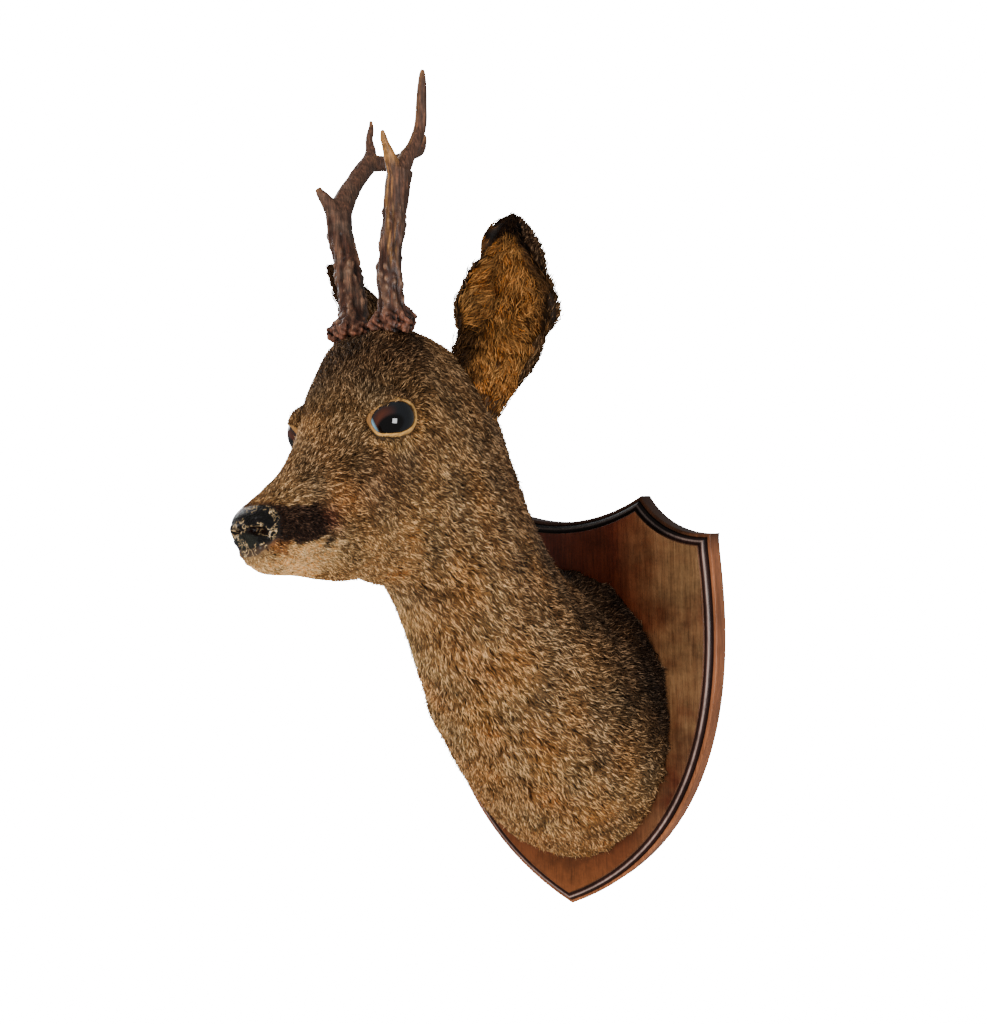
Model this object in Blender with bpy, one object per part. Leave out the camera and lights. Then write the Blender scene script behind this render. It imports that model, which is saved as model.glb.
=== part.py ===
"""Roe deer shoulder mount on a wooden wall shield, life size, in metres.

+Z is up. The animal looks towards -Y and its left side is +X. The origin is the
middle of the shield's flat back, which lies in the plane y = 0 against the wall.

The flesh is one loft, swept from the shield up the neck and out to the nose. Its
surface is the outer outline of the coat. Points on the head are given by how far
back they lie from the nose, along the line from the nose to the eye, and how far
above that line they lie.
"""
import math
import random

import bmesh
import bpy
import numpy as np
from mathutils import Matrix, Vector
from mathutils.bvhtree import BVHTree

GAP = 0.0003                      # clearance between pieces that touch
SEED = 7

# Shield: two raised points with a dip between them, shoulders, and a pointed foot
SHIELD_HEIGHT = 0.357
SHIELD_POINT_HALF_SPAN = 0.0767
SHIELD_SHOULDER_HALF_SPAN = 0.1397
SHIELD_SHOULDER_DROP = 0.0325
SHIELD_DIP_HALF_SWEEP = 0.539     # radians
SHIELD_NOTCH_HALF_SWEEP = 0.578
SHIELD_SIDE_UPPER_HANDLE = (0.1285, 0.150)
SHIELD_SIDE_LOWER_HANDLE = (0.1946, -0.0918)
SHIELD_EDGE_THICKNESS = 0.0195
SHIELD_PANEL_THICKNESS = 0.0258
DIP_STEPS = 12
NOTCH_STEPS = 7
SIDE_STEPS = 16

# Section of the moulded edge: how far in from the outline, and how far from the wall
MOULDING = (
    (0.0000, 0.0000),
    (0.0000, SHIELD_EDGE_THICKNESS),
    (0.0007, 0.0202),
    (0.0030, 0.0202),
    (0.0034, 0.0216),
    (0.0046, 0.0234),
    (0.0068, 0.0245),
    (0.0094, 0.0246),
    (0.0097, SHIELD_PANEL_THICKNESS),
)

# Pose of the head
NOSE_REACH = 0.4347               # nose tip to the wall
NOSE_HEIGHT = 0.167
HEAD_PITCH = math.radians(29.5)   # nose-to-eye line below the horizontal
HEAD_TILT = math.radians(7.0)     # the head leans to its right
HEAD_TURN = math.radians(-3.2)    # and looks a little to its left
TURN_PIVOT_Y = -0.2735

NOSE = Vector((0.0, -NOSE_REACH, NOSE_HEIGHT))
BACK = Vector((0.0, math.cos(HEAD_PITCH), math.sin(HEAD_PITCH)))
ABOVE = Vector((0.0, -math.sin(HEAD_PITCH), math.cos(HEAD_PITCH)))


def on_head(back, above, side=0.0):
    """Point of the head before it is tilted and turned."""
    return NOSE + BACK * back + ABOVE * above + Vector((side, 0.0, 0.0))


def head_pose(weight=1.0):
    """Matrix that tilts and turns the head; the neck takes a growing share of it."""
    to_nose = Matrix.Translation(NOSE)
    tilt = to_nose @ Matrix.Rotation(-HEAD_TILT * weight, 4, BACK) @ to_nose.inverted()
    to_pivot = Matrix.Translation((0.0, TURN_PIVOT_Y, 0.0))
    turn = to_pivot @ Matrix.Rotation(-HEAD_TURN * weight, 4, "Z") @ to_pivot.inverted()
    return turn @ tilt


def neck_section(low, top, half_width, widest=0.0, fullness=1.0, share=0.0):
    """One section of the loft from its lowest and highest (y, z) points."""
    return (*low, *top, half_width, widest, fullness, fullness, share)


def head_section(low, top, half_width, widest=0.2, crown=1.0, jaw=1.0, share=1.0):
    """The same on the head, from (back, above) points."""
    low_point = on_head(*low)
    top_point = on_head(*top)
    return (low_point.y, low_point.z, top_point.y, top_point.z, half_width, widest, crown, jaw, share)


NECK_BASE_Y = -(SHIELD_PANEL_THICKNESS + GAP)
SECTIONS = (
    neck_section((NECK_BASE_Y, -0.1370), (NECK_BASE_Y, 0.1180), 0.1020),
    neck_section((-0.046, -0.1265), (-0.043, 0.1150), 0.1000),
    neck_section((-0.089, -0.0940), (-0.062, 0.1140), 0.0925),
    neck_section((-0.130, -0.0520), (-0.083, 0.1200), 0.0810),
    neck_section((-0.171, -0.0060), (-0.103, 0.1360), 0.0700, share=0.05),
    neck_section((-0.204, 0.0370), (-0.121, 0.1595), 0.0612, share=0.15),
    neck_section((-0.231, 0.0740), (-0.136, 0.1880), 0.0555, share=0.30),
    neck_section((-0.250, 0.0960), (-0.149, 0.2180), 0.0520, share=0.45),
    neck_section((-0.264, 0.1070), (-0.164, 0.2480), 0.0500, share=0.62),
    neck_section((-0.276, 0.1140), (-0.186, 0.2775), 0.0485, widest=0.05, share=0.78),
    neck_section((-0.286, 0.1200), (-0.221, 0.2955), 0.0472, widest=0.1, share=0.90),
    head_section((0.0960, -0.1085), (0.2130, 0.0330), 0.0458, 0.14, 0.90, 1.05),
    head_section((0.0910, -0.1035), (0.1820, 0.0385), 0.0440, 0.18, 0.90, 1.05),
    head_section((0.0850, -0.0975), (0.1560, 0.0365), 0.0420, 0.23, 0.98, 1.05),
    head_section((0.0790, -0.0910), (0.1360, 0.0270), 0.0398, 0.26, 1.12, 1.05),
    head_section((0.0720, -0.0870), (0.1170, 0.0196), 0.0352, 0.25, 1.12, 1.05),
    head_section((0.0640, -0.0830), (0.0980, 0.0138), 0.0298, 0.22, 1.12, 1.05),
    head_section((0.0550, -0.0775), (0.0800, 0.0086), 0.0250, 0.18, 1.12, 1.05),
    head_section((0.0450, -0.0690), (0.0640, 0.0050), 0.0216, 0.14, 1.08, 1.05),
    head_section((0.0335, -0.0598), (0.0490, 0.0034), 0.0198, 0.10, 1.00, 1.05),
    head_section((0.0245, -0.0522), (0.0360, 0.0026), 0.0188, 0.10, 0.95, 1.03),
    head_section((0.0158, -0.0460), (0.0260, 0.0030), 0.0178, 0.10, 0.92, 1.00),
    head_section((0.0080, -0.0410), (0.0168, 0.0026), 0.0164, 0.10, 0.92, 1.00),
    head_section((0.0026, -0.0362), (0.0095, 0.0010), 0.0135, 0.10, 0.94, 1.00),
    head_section((-0.0004, -0.0298), (0.0052, -0.0032), 0.0085, 0.10, 0.95, 1.00),
)
NECK_RINGS = 12
HEAD_RINGS = 40
BODY_SIDES = 40
HEAD_JOINT = 6                    # the section where the head is parted from the neck

# Swellings and hollows of the face: place (side, back, above), reach, rise
FACE_FORMS = (
    ((0.0340, 0.1280, 0.0160), 0.0120, 0.0020),     # brow
    ((0.0215, 0.1790, 0.0315), 0.0190, 0.0072),     # side of the forehead
    ((0.0390, 0.1270, -0.0040), 0.0170, 0.0008),    # orbit
    ((0.0300, 0.1040, -0.0060), 0.0130, -0.0034),   # tear pit
    ((0.0400, 0.1380, -0.0300), 0.0180, 0.0022),    # cheekbone
    ((0.0230, 0.0760, -0.0300), 0.0200, -0.0024),   # hollow of the muzzle
    ((0.0140, 0.0140, -0.0060), 0.0080, 0.0020),    # wing of the nostril
    ((0.0180, 0.0300, -0.0300), 0.0120, 0.0016),    # upper lip
    ((0.0110, 0.0200, -0.0460), 0.0110, 0.0012),    # chin
    ((0.0400, 0.1120, -0.0750), 0.0260, 0.0024),    # jaw muscle
)

# Eyes
EYE_RADIUS = 0.0172
EYE_FRONT = (0.1240, -0.0026, 0.0470)        # back, above, side of the cornea
EYE_AXIS = Vector((0.84, -0.54, 0.07)).normalized()
LID_RADIUS = 0.0202
EYE_OPENING = (0.0155, 0.0127)               # half width and half height
MOUTH_GROOVE_RADIUS = 0.0013
MOUTH_STEPS = 28
MOUTH_LINE = (                    # side, back, above
    (0.0000, 0.0040, -0.0250),
    (0.0090, 0.0080, -0.0260),
    (0.0155, 0.0150, -0.0290),
    (0.0185, 0.0240, -0.0335),
    (0.0195, 0.0350, -0.0385),
    (0.0200, 0.0460, -0.0415),
)
NOSTRIL = (0.0100, 0.0060, -0.0090)         # side, back, above
NOSTRIL_RADII = (0.0042, 0.0040, 0.0022)
NOSTRIL_AXIS = (0.8, 0.5)         # outwards, above

# Ears: root on the head, tip and the way each cup opens
EAR_ROOT_BACK = 0.2500
EAR_ROOT_ABOVE = -0.0280
EAR_ROOT_SIDE = 0.0420
EAR_LEFT_TIP = Vector((0.0800, -0.2245, 0.3750))
EAR_RIGHT_TIP = Vector((-0.0900, -0.2200, 0.3620))
EAR_LEFT_OPENING = Vector((0.60, -0.80, -0.10))
EAR_RIGHT_OPENING = Vector((-0.60, -0.80, -0.10))
EAR_WIDTHS = (                    # share of the length, half width inwards and outwards
    (-0.36, 0.0120, 0.0120), (-0.20, 0.0185, 0.0185), (-0.08, 0.0235, 0.0240), (0.02, 0.0245, 0.0300),
    (0.10, 0.0252, 0.0337), (0.20, 0.0299, 0.0354), (0.30, 0.0364, 0.0361), (0.40, 0.0385, 0.0338),
    (0.48, 0.0362, 0.0329), (0.60, 0.0313, 0.0302), (0.66, 0.0255, 0.0275), (0.72, 0.0200, 0.0258),
    (0.80, 0.0160, 0.0240), (0.85, 0.0115, 0.0218), (0.90, 0.0095, 0.0180), (0.94, 0.0074, 0.0127),
    (0.97, 0.0042, 0.0080), (1.0, 0.0020, 0.0020),
)
EAR_DEPTHS = ((-0.36, 0.0140), (-0.15, 0.0200), (0.0, 0.0200), (0.25, 0.0158), (1.0, 0.0136))
EAR_SWAY = 0.009                  # how far the middle bows outwards
EAR_ROOT_START = -0.36            # shares of the ear's length, from its root point
EAR_PARTING = 0.06                # where the ear is parted from its root
EAR_WALL = 0.0034
EAR_BOW = 0.007                   # how far the middle bows backwards
EAR_ROOT_FILL = 0.012             # how far the closed root swells forwards
EAR_RIM_SHARE = 0.07              # width of the rim, as a share of half the ear's width
EAR_LIP = 0.0008
EAR_CUP_START = 0.05
EAR_CUP_LENGTH = 0.25
EAR_RINGS = 18
EAR_ARC = 11

# Antlers, in world places: each stretch is (x, y, z, radius)
PEDICLE_RADIUS = 0.0105
PEDICLE_LENGTH = 0.030
RIDGES = 4
RIDGE_SHARE = 0.06                # depth of the ridges, as a share of the radius
PEARLS = 14
PEARL_RISE = 0.0016
PEARL_SPAN = (0.12, 0.70)         # where pearls grow along the beam
BEAM_SIDES = 16
BEAM_RINGS = 26
BURR_RISE = 0.0055
BURR_LENGTH = 0.011
LEFT_BEAM = (
    (0.0155, -0.2790, 0.2960, 0.0096), (0.0160, -0.2821, 0.3060, 0.0092), (0.0176, -0.2873, 0.3359, 0.0081),
    (0.0212, -0.2861, 0.3664, 0.0078), (0.0236, -0.2834, 0.3930, 0.0087), (0.0250, -0.2820, 0.4040, 0.0088),
)
LEFT_TINES = {
    "antler_left_top": (
        (0.0254, -0.2795, 0.4070, 0.0076), (0.0262, -0.2752, 0.4140, 0.0067),
        (0.0274, -0.2698, 0.4215, 0.0057), (0.0288, -0.2627, 0.4368, 0.0043),
        (0.0308, -0.2626, 0.4557, 0.0038), (0.0325, -0.2637, 0.4662, 0.0031),
        (0.0333, -0.2643, 0.4722, 0.0022), (0.0340, -0.2647, 0.4767, 0.0011),
    ),
    "antler_left_front_tine": (
        (0.0240, -0.2866, 0.4040, 0.0056), (0.0232, -0.2891, 0.4085, 0.0048),
        (0.0232, -0.2944, 0.4175, 0.0031), (0.0242, -0.2988, 0.4232, 0.0021),
        (0.0250, -0.3012, 0.4270, 0.0010),
    ),
}
RIGHT_BEAM = (
    (-0.0246, -0.2785, 0.2905, 0.0098), (-0.0256, -0.2760, 0.3010, 0.0096),
    (-0.0288, -0.2702, 0.3195, 0.0097), (-0.0340, -0.2674, 0.3456, 0.0095),
    (-0.0383, -0.2691, 0.3667, 0.0087), (-0.0408, -0.2678, 0.3860, 0.0096),
)
RIGHT_TINES = {
    "antler_right_upper": (
        (-0.0408, -0.2655, 0.3890, 0.0088), (-0.0411, -0.2600, 0.3980, 0.0080),
        (-0.0415, -0.2485, 0.4119, 0.0068), (-0.0418, -0.2400, 0.4211, 0.0067),
        (-0.0416, -0.2290, 0.4318, 0.0064),
    ),
    "antler_right_front_tine": (
        (-0.0416, -0.2700, 0.3875, 0.0070), (-0.0444, -0.2738, 0.3930, 0.0056),
        (-0.0474, -0.2775, 0.3992, 0.0036), (-0.0498, -0.2800, 0.4046, 0.0014),
    ),
    "antler_right_top_tine": (
        (-0.0422, -0.2268, 0.4360, 0.0052), (-0.0433, -0.2244, 0.4420, 0.0042),
        (-0.0451, -0.2234, 0.4520, 0.0029), (-0.0452, -0.2205, 0.4600, 0.0021),
        (-0.0456, -0.2198, 0.4672, 0.0010),
    ),
    "antler_right_rear_tine": (
        (-0.0408, -0.2240, 0.4338, 0.0059), (-0.0375, -0.2131, 0.4350, 0.0056),
        (-0.0330, -0.1984, 0.4414, 0.0042), (-0.0301, -0.1782, 0.4506, 0.0028),
        (-0.0299, -0.1734, 0.4588, 0.0024), (-0.0291, -0.1728, 0.4658, 0.0010),
    ),
}
TINE_RINGS = 14

COAT = ((0.25, 0.17, 0.10), 0.85)
EAR_COAT = ((0.40, 0.27, 0.14), 0.85)
GLASS_EYE = ((0.02, 0.012, 0.01), 0.05)
ANTLER = ((0.16, 0.07, 0.04), 0.5)
TINE = ((0.25, 0.13, 0.07), 0.45)
MAHOGANY = ((0.17, 0.05, 0.025), 0.35)


def clear_scene():
    for existing in list(bpy.data.objects):
        bpy.data.objects.remove(existing, do_unlink=True)


def make_collection(name):
    collection = bpy.data.collections.new(name)
    bpy.context.scene.collection.children.link(collection)
    return collection


def paint(body, finish):
    colour, roughness = finish
    material = bpy.data.materials.new(body.name)
    material.use_nodes = True
    shader = material.node_tree.nodes["Principled BSDF"]
    shader.inputs["Base Color"].default_value = (*colour, 1.0)
    shader.inputs["Roughness"].default_value = roughness
    shader.inputs["Metallic"].default_value = 0.0
    body.data.materials.clear()
    body.data.materials.append(material)


def body_from_bmesh(bm, name, collection):
    bmesh.ops.recalc_face_normals(bm, faces=bm.faces)
    bmesh.ops.triangulate(bm, faces=bm.faces)
    mesh = bpy.data.meshes.new(name)
    bm.to_mesh(mesh)
    bm.free()
    body = bpy.data.objects.new(name, mesh)
    collection.objects.link(body)
    return body


def loft(name, rings, collection, fan_caps=True):
    """Closed body through rings of equal count; the ends are closed by fans or flat faces."""
    bm = bmesh.new()
    rows = [[bm.verts.new(point) for point in ring] for ring in rings]
    count = len(rows[0])
    for row, following in zip(rows, rows[1:]):
        for i in range(count):
            j = (i + 1) % count
            bm.faces.new((row[i], row[j], following[j], following[i]))
    for row in (rows[0], rows[-1]):
        if fan_caps:
            hub = bm.verts.new(sum((vert.co for vert in row), Vector()) / count)
            for i in range(count):
                bm.faces.new((row[i], row[(i + 1) % count], hub))
        else:
            bm.faces.new(row)
    return body_from_bmesh(bm, name, collection)


def smooth_rows(rows, stations):
    """Cubic curve through rows of numbers, read at stations counted in rows."""
    table = np.array(rows, dtype=float)
    slopes = np.gradient(table, axis=0)
    index = np.clip(np.floor(stations).astype(int), 0, len(table) - 2)
    t = (np.asarray(stations) - index)[:, None]
    start, end = table[index], table[index + 1]
    rise, fall = slopes[index], slopes[index + 1]
    blend = 3 * t ** 2 - 2 * t ** 3
    return start + (end - start) * blend + rise * (t ** 3 - 2 * t ** 2 + t) + fall * (t ** 3 - t ** 2)


def face_form_shift(local):
    """How far the face stands out or in at a head point (side, back, above)."""
    shift = 0.0
    for place, reach, rise in FACE_FORMS:
        distance = (Vector((abs(local.x), local.y, local.z)) - Vector(place)).length
        shift += rise * math.exp(-(distance / reach) ** 2)
    return shift


def body_ring(row):
    """Ring of points of the flesh from one interpolated section."""
    low_y, low_z, top_y, top_z, half_width, widest, crown, jaw, share = row
    low = Vector((0.0, low_y, low_z))
    top = Vector((0.0, top_y, top_z))
    pose = head_pose(share)
    centre = (low + top) / 2
    points = []
    for i in range(BODY_SIDES):
        angle = 2 * math.pi * i / BODY_SIDES
        across, along = math.sin(angle), math.cos(angle)
        power = crown if along > 0 else jaw
        across = math.copysign(abs(across) ** power, across)
        along = math.copysign(abs(along) ** power, along)
        along += widest * (1 - along ** 2)
        point = low + (top - low) * (along + 1) / 2
        point.x = half_width * across
        from_nose = point - NOSE
        local = Vector((point.x, from_nose.dot(BACK), from_nose.dot(ABOVE)))
        point += (point - centre).normalized() * face_form_shift(local)
        points.append(pose @ point)
    return points


def make_neck(collection):
    stations = np.linspace(0, HEAD_JOINT, NECK_RINGS)
    rings = [body_ring(row) for row in smooth_rows(SECTIONS, stations)]
    return loft("neck", rings, collection)


def make_head(collection):
    last = len(SECTIONS) - 1
    stations = np.linspace(HEAD_JOINT, last, HEAD_RINGS)
    rings = [body_ring(row) for row in smooth_rows(SECTIONS, stations)]
    a, b, c = (rings[0][i] for i in (0, BODY_SIDES // 3, 2 * BODY_SIDES // 3))
    away = (b - a).cross(c - a).normalized()
    if away.dot(rings[1][0] - rings[0][0]) < 0:
        away = -away
    rings[0] = [point + away * GAP for point in rings[0]]
    return loft("head", rings, collection)


def cutter_sphere(centre, radii, axis, collection, segments=24):
    bm = bmesh.new()
    bmesh.ops.create_uvsphere(bm, u_segments=segments, v_segments=segments // 2, radius=1.0)
    turn = axis.to_track_quat("Z", "Y").to_matrix().to_4x4()
    place = Matrix.Translation(centre) @ turn @ Matrix.Diagonal((*radii, 1.0))
    bmesh.ops.transform(bm, matrix=place, verts=bm.verts)
    return body_from_bmesh(bm, "shape", collection)


def cutter_rod(start, axis, radii, length, collection):
    bm = bmesh.new()
    bmesh.ops.create_cone(bm, cap_ends=True, segments=28, radius1=1.0, radius2=1.0, depth=1.0)
    turn = axis.to_track_quat("Z", "Y").to_matrix().to_4x4()
    place = Matrix.Translation(start + axis * length / 2) @ turn @ Matrix.Diagonal((*radii, length, 1.0))
    bmesh.ops.transform(bm, matrix=place, verts=bm.verts)
    return body_from_bmesh(bm, "shape", collection)


def tube(points, radii, name, collection, resolution=3):
    """Round tube of changing radius, as a bevelled curve made into a closed mesh."""
    curve = bpy.data.curves.new(name, "CURVE")
    curve.dimensions = "3D"
    curve.bevel_depth = max(radii)
    curve.bevel_resolution = resolution
    curve.use_fill_caps = True
    spline = curve.splines.new("POLY")
    spline.points.add(len(points) - 1)
    for knot, point, radius in zip(spline.points, points, radii):
        knot.co = (*point, 1.0)
        knot.radius = radius / curve.bevel_depth
    carrier = bpy.data.objects.new(name, curve)
    collection.objects.link(carrier)
    evaluated = carrier.evaluated_get(bpy.context.evaluated_depsgraph_get())
    mesh = bpy.data.meshes.new_from_object(evaluated)
    bm = bmesh.new()
    bm.from_mesh(mesh)
    bmesh.ops.remove_doubles(bm, verts=bm.verts, dist=0.00002)
    bpy.data.objects.remove(carrier, do_unlink=True)
    bpy.data.meshes.remove(mesh)
    return body_from_bmesh(bm, name, collection)


def combine(body, others, operation):
    """Join other bodies to this one, or cut them out of it, and drop them."""
    for other in others:
        modifier = body.modifiers.new("shape", "BOOLEAN")
        modifier.operation = operation
        modifier.solver = "EXACT"
        modifier.object = other
        bpy.context.view_layer.update()
        evaluated = body.evaluated_get(bpy.context.evaluated_depsgraph_get())
        mesh = bpy.data.meshes.new_from_object(evaluated)
        body.modifiers.clear()
        body.data = mesh
        bpy.data.objects.remove(other, do_unlink=True)
    keep_largest_surface(body)


def keep_largest_surface(body):
    bm = bmesh.new()
    bm.from_mesh(body.data)
    bmesh.ops.remove_doubles(bm, verts=bm.verts, dist=0.00001)
    bmesh.ops.dissolve_degenerate(bm, edges=bm.edges, dist=0.00001)
    bmesh.ops.triangulate(bm, faces=bm.faces)
    unseen = set(bm.faces)
    shells = []
    while unseen:
        shell = {unseen.pop()}
        front = list(shell)
        while front:
            face = front.pop()
            for edge in face.edges:
                for neighbour in edge.link_faces:
                    if neighbour in unseen:
                        unseen.discard(neighbour)
                        shell.add(neighbour)
                        front.append(neighbour)
        shells.append(shell)
    shells.sort(key=lambda shell: sum(face.calc_area() for face in shell))
    for shell in shells[:-1]:
        bmesh.ops.delete(bm, geom=list(shell), context="FACES")
    bm.to_mesh(body.data)
    bm.free()


def eye_frame(side):
    """Centre of the eyeball and the way it looks, for the left (1) or right (-1) eye."""
    pose = head_pose()
    back, above, across = EYE_FRONT
    head_turn = Matrix((Vector((1, 0, 0)), BACK, ABOVE)).transposed()
    axis = head_turn @ Vector((side * EYE_AXIS.x, EYE_AXIS.y, EYE_AXIS.z))
    front = on_head(back, above, side * across)
    centre = pose @ (front - axis * EYE_RADIUS)
    return centre, (pose.to_3x3() @ axis).normalized()


def shape_eyelids(head, collection):
    for side in (1, -1):
        centre, axis = eye_frame(side)
        lid = cutter_sphere(centre, (LID_RADIUS,) * 3, axis, collection)
        combine(head, [lid], "UNION")
        socket = cutter_sphere(centre, (EYE_RADIUS + GAP,) * 3, axis, collection)
        opening = cutter_rod(centre, axis, EYE_OPENING, 2 * LID_RADIUS, collection)
        combine(head, [socket, opening], "DIFFERENCE")


def surface_point(tree, local, pose):
    place, _, _, _ = tree.find_nearest(pose @ on_head(local[1], local[2], local[0]))
    return place


def cut_mouth_and_nostrils(head, collection):
    pose = head_pose()
    tree = BVHTree.FromPolygons([v.co for v in head.data.vertices], [p.vertices for p in head.data.polygons])
    half = [Vector(point) for point in MOUTH_LINE]
    line = [Vector((-p.x, p.y, p.z)) for p in reversed(half[1:])] + half
    stations = np.linspace(0, len(line) - 1, MOUTH_STEPS + 1)
    path = smooth_rows([surface_point(tree, point, pose) for point in line], stations)
    radii = []
    for i in range(MOUTH_STEPS + 1):
        from_end = min(i, MOUTH_STEPS - i) / MOUTH_STEPS
        radii.append(MOUTH_GROOVE_RADIUS * min(1.0, 0.25 + 4 * from_end))
    groove = tube(path, radii, "shape", collection, resolution=2)
    nostrils = []
    for side in (1, -1):
        place = surface_point(tree, (side * NOSTRIL[0], NOSTRIL[1], NOSTRIL[2]), pose)
        outwards, upwards = NOSTRIL_AXIS
        axis = (pose.to_3x3() @ (Vector((side * outwards, 0.0, 0.0)) + ABOVE * upwards)).normalized()
        nostrils.append(cutter_sphere(place, NOSTRIL_RADII, axis, collection, segments=12))
    combine(head, [groove, *nostrils], "DIFFERENCE")


def make_eye(side, name, collection):
    centre, axis = eye_frame(side)
    bpy.ops.mesh.primitive_uv_sphere_add(segments=24, ring_count=14, radius=EYE_RADIUS)
    eye = bpy.context.object
    eye.name = name
    eye.data.name = name
    eye.matrix_world = Matrix.Translation(centre) @ axis.to_track_quat("Z", "Y").to_matrix().to_4x4()
    eye.data.shade_smooth()
    for holder in list(eye.users_collection):
        holder.objects.unlink(eye)
    collection.objects.link(eye)
    return eye


def ear_ring(t, root, tip, opening, swell=0.0):
    """Crescent across the ear at t of its length; it is a full oval at the root."""
    along = tip - root
    length = along.length
    along.normalize()
    front = (opening - along * opening.dot(along)).normalized()
    across = along.cross(front)
    shares, inwards, outwards = zip(*EAR_WIDTHS)
    halves = [float(np.interp(t, shares, column)) + swell for column in (inwards, outwards)]
    if tip.x < 0:
        halves.reverse()
    depth = float(np.interp(t, *zip(*EAR_DEPTHS))) * min(1.0, 3.2 * (1.02 - t)) ** 0.6 + swell
    opened = min(1.0, max(0.0, (t - EAR_CUP_START) / EAR_CUP_LENGTH))
    opened = opened * opened * (3 - 2 * opened)
    wall = min(EAR_WALL, depth * 0.6) + 2 * swell
    inner_depth = (depth - wall) * opened - EAR_ROOT_FILL * (1 - opened)
    bow = EAR_BOW * math.sin(math.pi * max(t, 0.0))
    sway = math.copysign(EAR_SWAY, tip.x) * math.sin(math.pi * min(max(t, 0.0) * 1.15, 1.0))
    centre = root + along * (length * t) - front * bow
    centre.x += sway * 0.75
    centre.y += abs(sway) * 0.45
    rim = 1.0 - EAR_RIM_SHARE * opened
    points = []
    for i in range(EAR_ARC + 1):
        angle = math.pi * (i / EAR_ARC - 0.5)
        width = halves[angle > 0]
        points.append(centre + across * (width * math.sin(angle)) - front * (depth * math.cos(angle)))
    for i in range(EAR_ARC + 1):
        angle = math.pi * (0.5 - i / EAR_ARC)
        width = halves[angle > 0]
        edge = width * rim * math.sin(angle) if 0 < i < EAR_ARC else width * 0.97 * math.sin(angle)
        lift = 0.0012 * (1 - abs(math.sin(angle)) ** 6) if opened < 1 else 0.0
        forward = EAR_LIP if i in (0, EAR_ARC) else lift
        points.append(centre + across * edge - front * (inner_depth * math.cos(angle) - forward))
    return points


def ear_places(side):
    root = head_pose() @ on_head(EAR_ROOT_BACK, EAR_ROOT_ABOVE, side * EAR_ROOT_SIDE)
    if side > 0:
        return root, EAR_LEFT_TIP, EAR_LEFT_OPENING
    return root, EAR_RIGHT_TIP, EAR_RIGHT_OPENING


def make_ear(side, name, collection, swell=0.0):
    root, tip, opening = ear_places(side)
    start = EAR_PARTING + max(0.0, GAP - swell) / (tip - root).length
    rings = [ear_ring(t, root, tip, opening, swell) for t in np.linspace(start, 1.0, EAR_RINGS)]
    return loft(name, rings, collection)


def add_ear_roots(head, collection):
    """Join each ear's root to the head and leave a bed for the ear in it."""
    for side in (1, -1):
        root, tip, opening = ear_places(side)
        rings = [ear_ring(t, root, tip, opening) for t in np.linspace(EAR_ROOT_START, EAR_PARTING + 0.02, 9)]
        combine(head, [loft("shape", rings, collection)], "UNION")
        combine(head, [make_ear(side, "shape", collection, 2 * GAP)], "DIFFERENCE")


def add_pedicles(head, collection):
    for beam in (LEFT_BEAM, RIGHT_BEAM):
        foot = Vector(beam[0][:3])
        axis = (Vector(beam[1][:3]) - foot).normalized()
        start = foot - axis * PEDICLE_LENGTH
        stump = cutter_rod(start, axis, (PEDICLE_RADIUS,) * 2, PEDICLE_LENGTH, collection)
        combine(head, [stump], "UNION")


def beam_rings(beam, phase, swell=0.0):
    """Rings of a ridged, pearled beam that starts at its burr."""
    rows = smooth_rows(beam, np.linspace(0, len(beam) - 1, BEAM_RINGS))
    rows[:, 3] += swell
    foot = Vector(rows[0][:3])
    start = (Vector(rows[1][:3]) - foot).normalized()
    foot += start * GAP
    side = start.orthogonal().normalized()
    random_lumps = random.Random(SEED + phase)
    lumps = [(random_lumps.uniform(0, 2 * math.pi), random_lumps.uniform(*PEARL_SPAN)) for _ in range(PEARLS)]
    rings = []
    travelled = 0.0
    previous = Vector(rows[0][:3])
    for k, row in enumerate(rows):
        point = Vector(row[:3])
        ahead = Vector(rows[min(k + 1, BEAM_RINGS - 1)][:3]) - Vector(rows[max(k - 1, 0)][:3])
        ahead.normalize()
        side = (side - ahead * side.dot(ahead)).normalized() if k else side
        normal = (ahead if k else start).cross(side)
        travelled += (point - previous).length
        previous = point
        along = k / (BEAM_RINGS - 1)
        burr = BURR_RISE * math.exp(-((travelled - 0.004) / (BURR_LENGTH * 0.5)) ** 2)
        ring = []
        for i in range(BEAM_SIDES):
            angle = 2 * math.pi * i / BEAM_SIDES
            ridge = RIDGE_SHARE * math.sin(RIDGES * angle + 2.5 * along + phase)
            lump = 0.0
            for where, height in lumps:
                apart = math.atan2(math.sin(angle - where), math.cos(angle - where))
                lump += PEARL_RISE * math.exp(-(apart / 0.42) ** 2 - ((along - height) / 0.035) ** 2)
            radius = row[3] * (1 + ridge) + lump
            radius += burr * (1 + 0.30 * math.sin(6 * angle + phase) + 0.2 * math.sin(10 * angle))
            outwards = side * math.cos(angle) + normal * math.sin(angle)
            ring.append((foot if k == 0 else point) + outwards * radius)
        rings.append(ring)
    return rings


def bed_antlers(head, collection):
    """Clear the flesh round each burr."""
    for phase, beam in enumerate((LEFT_BEAM, RIGHT_BEAM)):
        combine(head, [loft("shape", beam_rings(beam, phase, GAP), collection)], "DIFFERENCE")


def tine_tube(stretch, name, collection, swell=0.0):
    rows = smooth_rows(stretch, np.linspace(0, len(stretch) - 1, TINE_RINGS))
    return tube(rows[:, :3], rows[:, 3] + swell, name, collection)


def make_antler(beam_name, beam, tines, phase, collection, scratch):
    """Beam with its burr, then each tine cut to meet what it grows from."""
    paint(loft(beam_name, beam_rings(beam, phase), collection), ANTLER)
    made = []
    for name, stretch in tines.items():
        tine = tine_tube(stretch, name, collection)
        cutters = [loft("shape", beam_rings(beam, phase, GAP), scratch)]
        cutters += [tine_tube(other, "shape", scratch, GAP) for other in made]
        combine(tine, cutters, "DIFFERENCE")
        paint(tine, TINE)
        made.append(stretch)


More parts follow.
